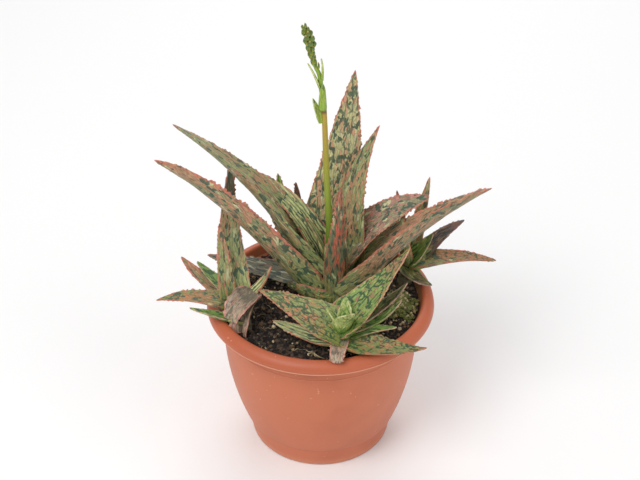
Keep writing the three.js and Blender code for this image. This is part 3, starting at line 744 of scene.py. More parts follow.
# Each row has the name, finish, root, heading, rise, length, width and thickness, then what is unusual
LEAVES = (
    # Main rosette
    Blade("main_leaf_heart_left", "striped", (3, 10, 108), 165, 72, 24, 9, 3, bend=-20),
    Blade("main_leaf_upper_left_inner", "striped", (3, 13, 101), 151, 67, 64, 20, 4, sweep=4, bend=-44,
          roll=10),
    Blade("main_leaf_right_upper", "rosy", (10, 8, 98), 16, 74, 66, 28, 5, sweep=-8, bend=-67, roll=-6,
          twist=-25),
    Blade("main_leaf_right_back", "streaked", (14, 12, 101), 61, 96, 80, 28, 4, sweep=-24, bend=-45,
          cup=25, roll=-15, twist=18, taper=0.86),
    Blade("main_leaf_back_tall", "patched", (4, 19, 98), 59, 75, 105, 40, 5, bend=1, cup=25, roll=-10,
          twist=-5, taper=0.84),
    Blade("main_leaf_upper_left", "streaked", (-2, 12, 100), 175, 63, 114, 37, 6, sweep=15, bend=-24,
          cup=48, roll=5, twist=-22, taper=0.57, plain=-1),
    Blade("main_leaf_lower_left", "brown", (-4, 5, 91), -176, 53, 117, 25, 6, sweep=9, bend=-22, ease=3,
          cup=45, roll=-28, twist=-44, taper=0.65, teeth=1.5),
    Blade("main_leaf_right_lower", "brown", (16, 3, 91), -7, 56, 105, 38, 6, sweep=-21, bend=-17, cup=60,
          twist=20, taper=0.47, teeth=1.5),
    Blade("main_leaf_front", "coral", (8, -1, 90), -85, 84, 76, 16, 5, sweep=7, bend=-8, taper=0.8),
    Blade("main_leaf_back_left", "streaked", (1, 17, 94), 136, 16, 55, 20, 5, sweep=-14, bend=16,
          roll=15),
    Blade("main_leaf_back", "streaked", (6, 19, 95), 88, 50, 70, 22, 5, sweep=-15, bend=-9),
    Blade("main_leaf_back_right", "streaked", (12, 16, 93), 42, 26, 52, 20, 5, bend=-16),
    Blade("main_leaf_low_left", "grey", (0, 9, 90), 164, 2, 64, 19, 5, bend=4, roll=12, plain=-1),
    Blade("main_leaf_stub", "flecked", (2, -1, 88), -172, 34, 23, 17, 7, sweep=-8, bend=-20, roll=-35,
          taper=0.5, blunt=0.5, torn=6),

    # Left offset
    Blade("left_leaf_tall", "browned", (-43, -13, 99), 108, 48, 70, 18, 5, sweep=-29, bend=10, roll=-12,
          taper=0.8),
    Blade("left_leaf_green", "fresh", (-44, -13, 97), 139, 9, 29, 11, 2.5, bend=19),
    Blade("left_leaf_dark", "brown", (-45, -14, 95), 147, 10, 37, 13, 3.5, sweep=-4, bend=24),
    Blade("left_leaf_tall_small", "streaked", (-48, -15, 97), 106, 73, 41, 10, 3),
    Blade("left_leaf_outer", "tan", (-45, -18, 95), 171, 20, 42, 14, 4, sweep=3, bend=-43, roll=3,
          twist=12, taper=0.74, teeth=1.3),
    Blade("left_leaf_low", "fresh", (-39, -25, 91), 180, 10, 29, 8, 3, bend=12, foot=0),
    Blade("left_leaf_small", "striped", (-38, -15, 98), 23, 32, 21, 8, 3, bend=34),
    Blade("left_leaf_drooping", "withered", (-36, -17, 101), -130, 10, 20, 17, 4, bend=-80, cup=50,
          taper=0.5, blunt=0.3, torn=2, crumple=0.8),

    # Front offset
    Blade("front_leaf_heart", "heart", (11, -41, 100), -75, 62, 17, 12, 4, bend=-10, taper=0.5,
          blunt=0.35),
    Blade("front_leaf_right", "netted", (10, -39, 97), 31, 36, 54, 27, 4, sweep=-2, bend=11, roll=-10,
          twist=21, taper=0.86),
    Blade("front_leaf_left", "flecked", (10, -42, 96), 157, 26, 47, 26, 4, sweep=5, bend=-13, roll=26,
          twist=-10, taper=0.86),
    Blade("front_leaf_low_right", "flecked", (13, -43, 93), -19, -9, 42, 21, 4, sweep=5, bend=30,
          roll=-11, twist=18, taper=0.77),
    Blade("front_leaf_dark", "dusky", (14, -36, 96), 25, 9, 38, 10, 3, sweep=10, bend=26),
    Blade("front_leaf_thin", "fresh", (16, -38, 95), 14, 4, 30, 7, 2.5, sweep=20, bend=34),
    Blade("front_leaf_short", "fresh", (17, -40, 94), 4, 20, 22, 9, 3, bend=-24),
    Blade("front_leaf_low_left", "striped", (7, -42, 92), 161, -6, 34, 15, 3, sweep=-2, bend=23, roll=9,
          twist=9, taper=0.76),
    Blade("front_leaf_drooping", "withered", (10, -45, 94), -100, 8, 16, 10, 3, bend=-45, taper=0.5,
          blunt=0.4, torn=3, crumple=0.5),

    # Right offset
    Blade("right_leaf_outer", "tan", (51, 15, 98), -3, 21, 43, 14, 4, sweep=-6, bend=-30, roll=-8,
          twist=-5, taper=0.72),
    Blade("right_leaf_heart", "fresh", (49, 14, 101), 2, 54, 19, 15, 3, bend=9, roll=-10, taper=0.7),
    Blade("right_leaf_upright", "streaked", (48, 18, 100), 53, 69, 45, 12, 3.5, bend=3, taper=0.7),
    Blade("right_leaf_hooked", "dark", (52, 18, 98), 38, 39, 35, 13, 3, sweep=-3, bend=-37, roll=-5,
          twist=-5, taper=0.7),
    Blade("right_leaf_inner", "streaked", (47, 15, 99), -135, 70, 36, 9, 3, bend=22),
    Blade("right_leaf_back", "striped", (46, 19, 99), 110, 61, 36, 8, 2.5, bend=6),
    Blade("right_leaf_dry", "dusky", (46, 12, 96), -70, -4, 18, 12, 3, sweep=60, bend=-10),

    # Back offset
    Blade("back_leaf_left", "fresh", (-18, 43, 97), 157, 82, 38, 10, 3, roll=55),
    Blade("back_leaf_middle", "dark", (-13, 42, 98), -2, 84, 33, 10, 3, bend=14, roll=-55),
    Blade("back_leaf_outer", "streaked", (-16, 45, 95), 95, 28, 30, 12, 3.5, bend=-25),
)

# Small blades that belong to the piece of a leaf: hearts of rosettes and a folded dry lobe
COMPANIONS = {
    "left_leaf_drooping": (
        Blade("left_dry_lobe", "withered", (-37, -17, 101), -112, -22, 23, 14, 2.5, bend=-62, cup=70,
              taper=0.35, blunt=0.5, foot=2, torn=3, crumple=1.0),
    ),
    "front_leaf_heart": (
        Blade("front_heart_back", "heart", (12, -38, 101), 80, 72, 12, 9, 2, bend=-20, clasp=6),
        Blade("front_heart_left", "heart", (9, -40, 100), 170, 66, 12, 8, 2, bend=-14, clasp=6),
    ),
    "main_leaf_heart_left": (
        Blade("main_heart_front", "heart", (5, 6, 104), -110, 74, 17, 9, 2.5, clasp=6),
        Blade("main_heart_right", "heart", (8, 11, 104), 20, 72, 22, 9, 2.5, clasp=6),
    ),
}


def leaf_material(finish, settings):
    """The material of one kind of leaf, made once and then shared."""
    name = "Leaf " + finish
    if name in bpy.data.materials:
        return bpy.data.materials[name]
    material, tree, shader = new_material(name)
    place = put(tree, "Attribute", attribute_name="place").outputs["Vector"]
    form = put(tree, "Attribute", attribute_name="form").outputs["Vector"]
    parts = put(tree, "SeparateXYZ", {0: form}).outputs
    inputs = {"Place": place, "Edge": parts[0], "Span": parts[1]}
    for key in ("ground", "streak", "blotch", "fleck", "foot", "margin", "tip"):
        inputs[key.capitalize()] = getattr(settings, key)
    for key, value in FINISHES[finish].items():
        label = key.replace("_", " ").capitalize()
        inputs[label] = shade(value) if isinstance(value, str) else value
    marks = place_group(tree, "Blade markings", inputs)
    tree.links.new(marks.outputs["Color"], shader.inputs["Base Color"])
    rough = put(tree, "MapRange", {"Value": marks.outputs["Bloom"], "To Min": 0.38, "To Max": 0.58})
    tree.links.new(rough.outputs[0], shader.inputs["Roughness"])
    shader.inputs["Subsurface Weight"].default_value = 0.06
    shader.inputs["Subsurface Radius"].default_value = (0.004, 0.003, 0.001)
    shader.inputs["Subsurface Scale"].default_value = 1.0
    bump(tree, shader, marks.outputs["Height"], 0.0004)
    return material


def grow_leaves(scene, prefixes):
    """The pieces of all leaves whose names start with one of the prefixes."""
    settings = scene.aloe_leaves
    skin = Skin(settings.step / MM, settings.columns, settings.tooth_pitch / MM,
                settings.tooth_height / MM, settings.relief / MM, settings.waviness / MM)
    for blade in LEAVES:
        if not blade.name.startswith(prefixes):
            continue
        bm = bmesh.new()
        for part in (blade, *COMPANIONS.get(blade.name, ())):
            shape_blade(bm, part, skin)
        to_metres(bm)
        new_piece(blade.name + "_skin", bm, leaf_material(blade.finish, settings), blade.name,
                  crease=70)


class ALOE_OT_main_leaves(bpy.types.Operator):
    """Grow the leaves of the main rosette."""
    bl_idname = "aloe.main_leaves"
    bl_label = "Main leaves"

    def execute(self, context):
        grow_leaves(context.scene, ("main_",))
        return {"FINISHED"}


class ALOE_OT_offset_leaves(bpy.types.Operator):
    """Grow the leaves of the four small offsets."""
    bl_idname = "aloe.offset_leaves"
    bl_label = "Offset leaves"

    def execute(self, context):
        grow_leaves(context.scene, ("left_", "front_", "right_", "back_"))
        return {"FINISHED"}


# Stems

STEM_STEPS = 60
STEM_GIRTHS = (1, 1, 1, 0.95, 0.85, 0.7, 0.35)
SCAR_STEPS = 4

# Each row has the name, the foot, the top and the radius in millimetres
STEMS = (
    ("main_stem", (8, 9, 68), (5, 11, 110), 7),
    ("left_stem", (-37, -27, 70), (-42, -14, 101), 4),
    ("front_stem", (11, -37, 70), (12, -40, 101), 4.5),
    ("right_stem", (42, 13, 73), (49, 16, 102), 4),
    ("back_stem", (-16, 38, 70), (-16, 43, 100), 3.5),
)


class ALOE_OT_stems(bpy.types.Operator):
    """Grow the short woody stems, ringed with old leaf scars."""
    bl_idname = "aloe.stems"
    bl_label = "Stems"

    def execute(self, context):
        material = mottled("Stem", shade("7B765A"), shade("4C4536"))
        for name, foot, top, radius in STEMS:
            foot, top = Vector(foot), Vector(top)
            path = [foot.lerp(top, i / STEM_STEPS) for i in range(STEM_STEPS + 1)]
            radii = []
            for i, girth in enumerate(spread(STEM_GIRTHS, STEM_STEPS)):
                scar = 0.05 * abs(math.sin(math.pi * i / SCAR_STEPS)) - 0.03
                radii.append(radius * (girth + scar))
            bm = bmesh.new()
            limb(bm, path, radii, 28, wrinkle=0.12, seed=radius)
            to_metres(bm)
            new_piece(name + "_bark", bm, material, name, crease=60)
        return {"FINISHED"}


# Flower stalk

STALK_PATH = ((4.5, 10, 104), (4.4, 10, 125), (3.5, 10, 146), (2.7, 10, 166), (1.7, 10, 195),
              (0.4, 10, 206), (-0.5, 10, 214), (-2.5, 10, 219), (-4, 10, 224), (-4.5, 10, 229),
              (-6, 10, 235), (-8, 10, 240))
STALK_RADII = (2, 1.7, 1.6, 1.5, 1.3, 1.2, 1.1, 1, 1, 1, 0.9, 0.5)
BRACTS = (
    Blade("bract_low_left", "bract", (0.6, 9, 189), 188, 72, 14, 4.6, 1.2, clasp=6, foot=1, roll=65),
    Blade("bract_sheath_front", "bract", (1.0, 8.2, 197), -80, 88, 14, 4.6, 1.4, clasp=1.8, cup=120,
          foot=1),
    Blade("bract_sheath_right", "bract", (1.7, 9.4, 197), 0, 92, 12, 4.6, 1.4, bend=6, clasp=1.8, cup=120,
          foot=1),
    Blade("bract_slender_left", "bract", (-0.5, 9, 209), 185, 72, 14, 2.6, 1, bend=-10, clasp=4, foot=1),
    Blade("bract_slender_right", "bract", (0.5, 9, 213), -10, 86, 11, 2.4, 1, bend=14, clasp=4, foot=1),
)
BRACT_SKIN = Skin(step=0.4, columns=16, pitch=4.0, height=0.1, relief=0.02, waviness=0.2)

# Places along a bud, from 0 at its foot to 1 at its tip, each with the half thickness there
BUD_SHAPE = ((0, 0.35), (0.15, 0.75), (0.35, 1.02), (0.55, 1.05), (0.75, 0.8), (0.9, 0.42), (1, 0.12))
BUDS_FROM, BUDS_TO = 0.36, 0.98
GOLDEN_ANGLE = math.radians(137.5)
STALK_STEPS, TOP_STEPS = 120, 80


def stalk_material(name, stops, rough=0.45):
    """Colours along a limb, from its foot to its tip, with a faint grain."""
    material, tree, shader = new_material(name)
    growth = put(tree, "Attribute", attribute_name="growth").outputs["Vector"]
    share = put(tree, "SeparateXYZ", {0: growth}).outputs[1]
    colours = put(tree, "ValToRGB", {0: share})
    ramp = colours.color_ramp
    first, last = ramp.elements[0], ramp.elements[1]
    first.position, first.color = stops[0]
    last.position, last.color = stops[-1]
    for position, colour in stops[1:-1]:
        ramp.elements.new(position).color = colour
    mottle = place_group(tree, "Mottle", {
        "Place": object_place(tree), "Base": colours.outputs[0], "Second": colours.outputs[0],
        "Broad": 300.0, "Fine": 2500.0, "Share": 0.5, "Grit": 0.35})
    tree.links.new(mottle.outputs["Color"], shader.inputs["Base Color"])
    shader.inputs["Roughness"].default_value = rough
    shader.inputs["Subsurface Weight"].default_value = 0.1
    shader.inputs["Subsurface Scale"].default_value = 0.003
    bump(tree, shader, mottle.outputs["Height"], 0.0001)
    return material


class ALOE_OT_stalk(bpy.types.Operator):
    """Grow the flower stalk with its bracts and green buds."""
    bl_idname = "aloe.stalk"
    bl_label = "Flower stalk"

    def execute(self, context):
        settings = context.scene.aloe_stalk
        leaves = context.scene.aloe_leaves
        bm = bmesh.new()
        limb(bm, smooth_path(STALK_PATH, STALK_STEPS), spread(STALK_RADII, STALK_STEPS), settings.sides)
        to_metres(bm)
        stops = ((0.0, tuple(settings.low)), (0.3, tuple(settings.middle)),
                 (0.56, tuple(settings.joint)), (0.645, tuple(settings.joint)),
                 (0.655, shade("7C5A34")), (0.67, tuple(settings.high)), (1.0, tuple(settings.middle)))
        material = stalk_material("Stalk", stops)
        new_piece("flower_stalk_skin", bm, material, "flower_stalk", crease=70)

        bm = bmesh.new()
        for bract in BRACTS:
            shape_blade(bm, bract, BRACT_SKIN)
        to_metres(bm)
        new_piece("flower_stalk_bracts", bm, leaf_material("bract", leaves), "flower_stalk",
                  crease=70)

        bm = bmesh.new()
        chance = random.Random(7)
        top = smooth_path(STALK_PATH[4:], TOP_STEPS)
        for i in range(settings.buds):
            share = i / (settings.buds - 1)
            place = top[round((BUDS_FROM + (BUDS_TO - BUDS_FROM) * share) * TOP_STEPS)]
            around = GOLDEN_ANGLE * i
            side = Vector((math.cos(around), math.sin(around), 0))
            swell = 0.5 + 0.75 * math.exp(-((share - 0.68) / 0.26) ** 2)
            length = settings.bud_length / MM * (0.7 + 0.2 * swell) * (1 - 0.4 * share)
            lean = (side * (0.10 + 0.30 * swell) + Vector((-0.25, 0, 1))).normalized()
            start = place + side * 0.4
            bulge = side * 0.55 * swell
            curve = [start + lean * length * t + bulge * math.sin(math.pi * t) for t, _ in BUD_SHAPE]
            girth = [part * swell * chance.uniform(0.9, 1.1) for _, part in BUD_SHAPE]
            limb(bm, curve, girth, 10, wrinkle=0.12, seed=i)
        to_metres(bm)
        stops = ((0.0, shade("C9C062")), (0.3, shade("AFAF4E")), (0.5, tuple(settings.bud)),
                 (0.8, tuple(settings.bud_tip)), (1.0, shade("BFA552")))
        material = stalk_material("Buds", stops, 0.5)
        new_piece("flower_stalk_buds", bm, material, "flower_stalk", crease=70)
        return {"FINISHED"}


# Pot

FOOT_RADIUS, FOOT_TOP_RADIUS, STEP_RADIUS = 38.0, 40.1, 41.4
STEP_HEIGHT, NECK_RADIUS, MOUTH_RADIUS, BODY_BULGE = 13.7, 51.1, 55.0, 4.0
DRAIN_RADIUS, DRAIN_CIRCLE, DRAIN_COUNT = 3.5, 24.0, 4
WALL_STEPS, INNER_STEPS, LIP_STEPS = 44, 20, 12
BEAD = 0.35
POT_CREASE = 50


def body_radius(z, neck):
    """The outer radius of the bellied wall at a height below the neck."""
    t = (z - STEP_HEIGHT) / (neck - STEP_HEIGHT)
    return STEP_RADIUS + (NECK_RADIUS - STEP_RADIUS) * t + BODY_BULGE * 4 * t * (1 - t)


def corner(radius, height, *shifts):
    """Points of the outline, each given by how far it lies from one corner."""
    return [(radius + out, height + up) for out, up in shifts]


def pot_profile(settings):
    """The wall's outline from the middle of its underside round the lip to its floor."""
    wall, drop = settings.wall / MM, settings.lip_drop / MM
    ring, swell = settings.ring_drop / MM, settings.ring_height / MM
    neck = POT_HEIGHT - drop - 1
    outline = [(0, 0),
               *corner(FOOT_RADIUS, 0, (-2.2, 0), (-0.8, 0.1), (-0.2, 0.45), (0, 1.1)),
               *corner(FOOT_TOP_RADIUS, STEP_HEIGHT, (-0.5, -3.4), (-0.05, -1.2), (0.15, -0.75)),
               *corner(STEP_RADIUS, STEP_HEIGHT, (-0.35, -0.35), (0, 0.1))]
    foot_points = len(outline)
    for i in range(1, WALL_STEPS):
        z = STEP_HEIGHT + 0.2 + (neck - STEP_HEIGHT - 0.2) * i / WALL_STEPS
        outline.append((body_radius(z, neck), z))
    line = POT_HEIGHT - ring
    for shift, share in ((-0.5, 0), (-0.2, 0.8), (0, 1), (0.2, 0.8), (0.5, 0)):
        outline.append((body_radius(line + shift, neck) + swell * share, line + shift))
    outline[foot_points:] = sorted(outline[foot_points:], key=lambda point: point[1])
    low = POT_HEIGHT - drop
    outline += corner(NECK_RADIUS, neck, (0, 0), (0.5, 0.35))
    outline += corner(RIM_RADIUS, low, (-1.2, -0.15), (-0.4, -0.4), (-0.05, -0.42), (0.12, -0.3),
                      (0.16, -0.15), (0.1, 0), (-0.08, 0.1), (0, BEAD))
    for i in range(1, LIP_STEPS + 1):
        turn = math.pi / 2 * i / LIP_STEPS
        outline.append((MOUTH_RADIUS + (RIM_RADIUS - MOUTH_RADIUS) * math.cos(turn),
                        low + BEAD + (drop - BEAD) * math.sin(turn)))
    outline += corner(MOUTH_RADIUS, POT_HEIGHT, (-0.9, -0.4), (-1.4, -1.4), (-1.7, -3))
    for i in range(INNER_STEPS, -1, -1):
        z = STEP_HEIGHT + wall + (neck - 3 - STEP_HEIGHT - wall) * i / INNER_STEPS
        outline.append((body_radius(z, neck) - wall, z))
    outline += [(FOOT_TOP_RADIUS - wall, STEP_HEIGHT - 1 + wall), (FOOT_RADIUS - wall, wall), (0, wall)]
    return outline


class ALOE_OT_pot(bpy.types.Operator):
    """Turn the pot on its axis and drill its drain holes."""
    bl_idname = "aloe.pot"
    bl_label = "Pot"

    def execute(self, context):
        settings = context.scene.aloe_pot
        bm = bmesh.new()
        verts = [bm.verts.new((radius, 0, z)) for radius, z in pot_profile(settings)]
        edges = [bm.edges.new(pair) for pair in zip(verts, verts[1:])]
        bmesh.ops.spin(bm, geom=verts + edges, cent=(0, 0, 0), axis=(0, 0, 1),
                       angle=2 * math.pi, steps=settings.steps, use_merge=True)
        to_metres(bm)
        pot = new_piece("pot_shell", bm, self.plastic(settings), "pot", crease=POT_CREASE)

        bm = bmesh.new()
        for i in range(DRAIN_COUNT):
            turn = 2 * math.pi * (i + 0.5) / DRAIN_COUNT
            spot = Vector((DRAIN_CIRCLE * math.cos(turn), DRAIN_CIRCLE * math.sin(turn), 0.5))
            bmesh.ops.create_cone(bm, cap_ends=True, segments=32, radius1=DRAIN_RADIUS,
                                  radius2=DRAIN_RADIUS, depth=4, matrix=Matrix.Translation(spot))
        to_metres(bm)
        drains = add_object("drains", make_mesh("drains", bm))
        cut = pot.modifiers.new("Drains", "BOOLEAN")
        cut.object = drains
        cut.operation = "DIFFERENCE"
        bm = bmesh.new()
        bm.from_object(pot, context.evaluated_depsgraph_get())
        pot.modifiers.remove(cut)
        bm.to_mesh(pot.data)
        bm.free()
        pot.data.set_sharp_from_angle(angle=math.radians(POT_CREASE))
        bpy.data.objects.remove(drains)
        return {"FINISHED"}

    def plastic(self, settings):
        """Moulded plastic, redder round the rim, with pale rubbed marks, a painted highlight along the
        lip's lower edge and a dirty inner wall.
        """
        material, tree, shader = new_material("Pot plastic")
        place = object_place(tree)
        height = put(tree, "SeparateXYZ", {0: place}).outputs[2]
        upper = fade(tree, height, (POT_HEIGHT - 14) * MM, (POT_HEIGHT - 3) * MM)
        base = blend(tree, upper, settings.body, settings.rim)
        deeper = blend(tree, 0.35, base, shade("A8563A"))
        mottle = place_group(tree, "Mottle", {
            "Place": place, "Base": base, "Second": deeper,
            "Broad": 22.0, "Fine": 1600.0, "Share": 0.42, "Grit": 0.10})
        specks = cloud(tree, place, 420.0, 1.0)
        specks = times(tree, fade(tree, specks, 0.75, 0.77), 0.4)
        rubbed = times(tree, fade(tree, height, 0.006, 0.0), 0.3)
        # The thin pale line at the lip's lower edge is a painted highlight, where that edge catches the
        # light
        line = (POT_HEIGHT - settings.lip_drop / MM - 0.12) * MM
        above = fade(tree, height, line - 0.0004, line)
        below = fade(tree, height, line + 0.0004, line)
        edge_line = times(tree, calc(tree, "MINIMUM", above, below), 0.8)
        # Specks and the rubbed foot are wear; the pale line at the lip is painted highlight
        wear_and_highlight = calc(tree, "MAXIMUM", calc(tree, "MAXIMUM", specks, rubbed), edge_line)
        colour = blend(tree, wear_and_highlight, mottle.outputs["Color"], settings.scuff_and_highlight)

        # Dry soil and algae cling to the inner wall above the potting mix
        flat = vector_sum(tree, "MULTIPLY", {0: place, 1: (1.0, 1.0, 0.0)})
        reach = put(tree, "VectorMath", {0: flat}, operation="LENGTH").outputs["Value"]
        inside = fade(tree, reach, 0.0545, 0.0525)
        inside = times(tree, inside, fade(tree, height, line, line + 0.001))
        dirt = fade(tree, cloud(tree, place, 60.0, 4.0), 0.36, 0.6)
        dirt = times(tree, times(tree, inside, dirt), 0.75)
        colour = blend(tree, dirt, colour, settings.dirt)
        tree.links.new(colour, shader.inputs["Base Color"])
        rough = put(tree, "MapRange", {"Value": mottle.outputs["Height"], "To Min": 0.42, "To Max": 0.56})
        tree.links.new(rough.outputs[0], shader.inputs["Roughness"])
        bump(tree, shader, mottle.outputs["Height"], 0.00008)
        return material


# Soil

SOIL_LEVEL, SOIL_RISE, SOIL_EDGE = 83.5, 3.0, 52.0
SOIL_RINGS, SOIL_TURNS = 96, 240
MOUND_X, MOUND_Y = 30, -8
MOSS_X, MOSS_Y = 41, -8
MOSS_GRAINS = 110
ROOT_STEPS = 15
ROOT_GIRTHS = (0.14, 0.2, 0.15, 0.07)
TUFT_GIRTHS = (0.28, 0.36, 0.28, 0.08)

# A dry root that splits at the front of the soil, where each of its ends lies
SPLIT_FOOT = ((-4, -44, 86), (-4, -47.5, 88.2))
SPLIT_TIPS = ((-7.5, -45, 87.5), (-1.5, -50.5, 87.0), (1.5, -52.5, 88.2), (-4.5, -51.8, 89.4))


def soil_height(x, y, relief):
    """Height of the potting mix, as the solid has it, with clods and crumbs on it."""
    mound = SOIL_RISE * math.exp(-((x - MOUND_X) ** 2 + (y - MOUND_Y) ** 2) / 500)
    waves = math.sin(x * 0.55 + 1.3) * math.cos(y * 0.6) + 0.6 * math.sin(x * 0.23 - y * 0.31)
    clods = noise.noise(Vector((x * 0.28, y * 0.28, 1))) + 0.5 * noise.noise(Vector((x * 0.8, y * 0.8, 5)))
    crumbs = 0.35 * noise.noise(Vector((x * 2.2, y * 2.2, 9)))
    return SOIL_LEVEL + mound + 0.6 * waves + relief * (clods + crumbs)


def scattered(chance, count, reach):
    """Random places on the soil, as (x, y)."""
    places = []
    while len(places) < count:
        x, y = chance.uniform(-reach, reach), chance.uniform(-reach, reach)
        if math.hypot(x, y) <= reach:
            places.append((x, y))
    return places


def grain_shapes(chance, count, low, high, flat=1.0, detail=2):
    """A few irregular grains of 1 mm radius, each as a mesh of its own."""
    shapes = []
    for _ in range(count):
        bm = bmesh.new()
        scale = Matrix.Diagonal((1, chance.uniform(0.7, 1), flat, 1))
        bmesh.ops.create_icosphere(bm, subdivisions=detail, radius=1.0, matrix=scale)
        for vert in bm.verts:
            vert.co *= chance.uniform(low, high)
        shapes.append(make_mesh("grain", bm))
    return shapes


def put_shape(bm, mesh, spot, size, turn):
    """Adds a copy of a small mesh at a spot, of a size in millimetres, and turned."""
    matrix = Matrix.Translation(spot) @ turn.to_matrix().to_4x4() @ Matrix.Scale(size, 4)
    mesh.transform(matrix)
    bm.from_mesh(mesh)
    mesh.transform(matrix.inverted())


def any_turn(chance, lean=3.0):
    """A random spin, leant over by up to so many radians."""
    axis = Vector((chance.uniform(-1, 1), chance.uniform(-1, 1), chance.uniform(-0.3, 0.3)))
    spin = Quaternion((0, 0, 1), chance.uniform(0, 6.28))
    return Quaternion(axis, chance.uniform(0, lean)) @ spin


def cushion(x, y):
    """How thick the moss lies at a place, from 0 to about 1."""
    patches = noise.noise(Vector((x * 0.16, y * 0.16, 12)))
    return math.exp(-((x - MOSS_X) / 10) ** 2 - ((y - MOSS_Y) / 13) ** 2) * (1 + 1.2 * patches)


class ALOE_OT_soil(bpy.types.Operator):
    """Fill the pot with crumbly potting mix."""
    bl_idname = "aloe.soil"
    bl_label = "Soil"

    def execute(self, context):
        settings = context.scene.aloe_soil
        relief = settings.crumb_relief / MM
        bm = bmesh.new()
        grid = bmesh.ops.create_grid(bm, x_segments=SOIL_TURNS, y_segments=SOIL_RINGS, size=0.5)
        for vert in grid["verts"]:
            radius = SOIL_EDGE * (vert.co.y + 0.5)
            around = 2 * math.pi * (vert.co.x + 0.5)
            x, y = radius * math.cos(around), radius * math.sin(around)
            vert.co = (x, y, soil_height(x, y, relief))
        bmesh.ops.remove_doubles(bm, verts=bm.verts, dist=1e-4)
        rim = [edge for edge in bm.edges if edge.is_boundary]
        neck = POT_HEIGHT - context.scene.aloe_pot.lip_drop / MM - 1
        wall = context.scene.aloe_pot.wall / MM
        sides = [(body_radius(z, neck) - wall - 0.3, z) for z in (79, 70, 60, 45, 30, STEP_HEIGHT + 2)]
        for radius, z in (*sides, (FOOT_RADIUS - wall - 0.5, wall + 0.3)):
            verts, rim = draw_out(bm, rim)
            for vert in verts:
                flat = Vector((vert.co.x, vert.co.y, 0)).normalized() * radius
                vert.co = (flat.x, flat.y, z)
        close_ends(bm)
        to_metres(bm)
        material = mottled("Soil", settings.dark, settings.light)
        new_piece("soil_bed", bm, material, "soil", crease=80)
        return {"FINISHED"}


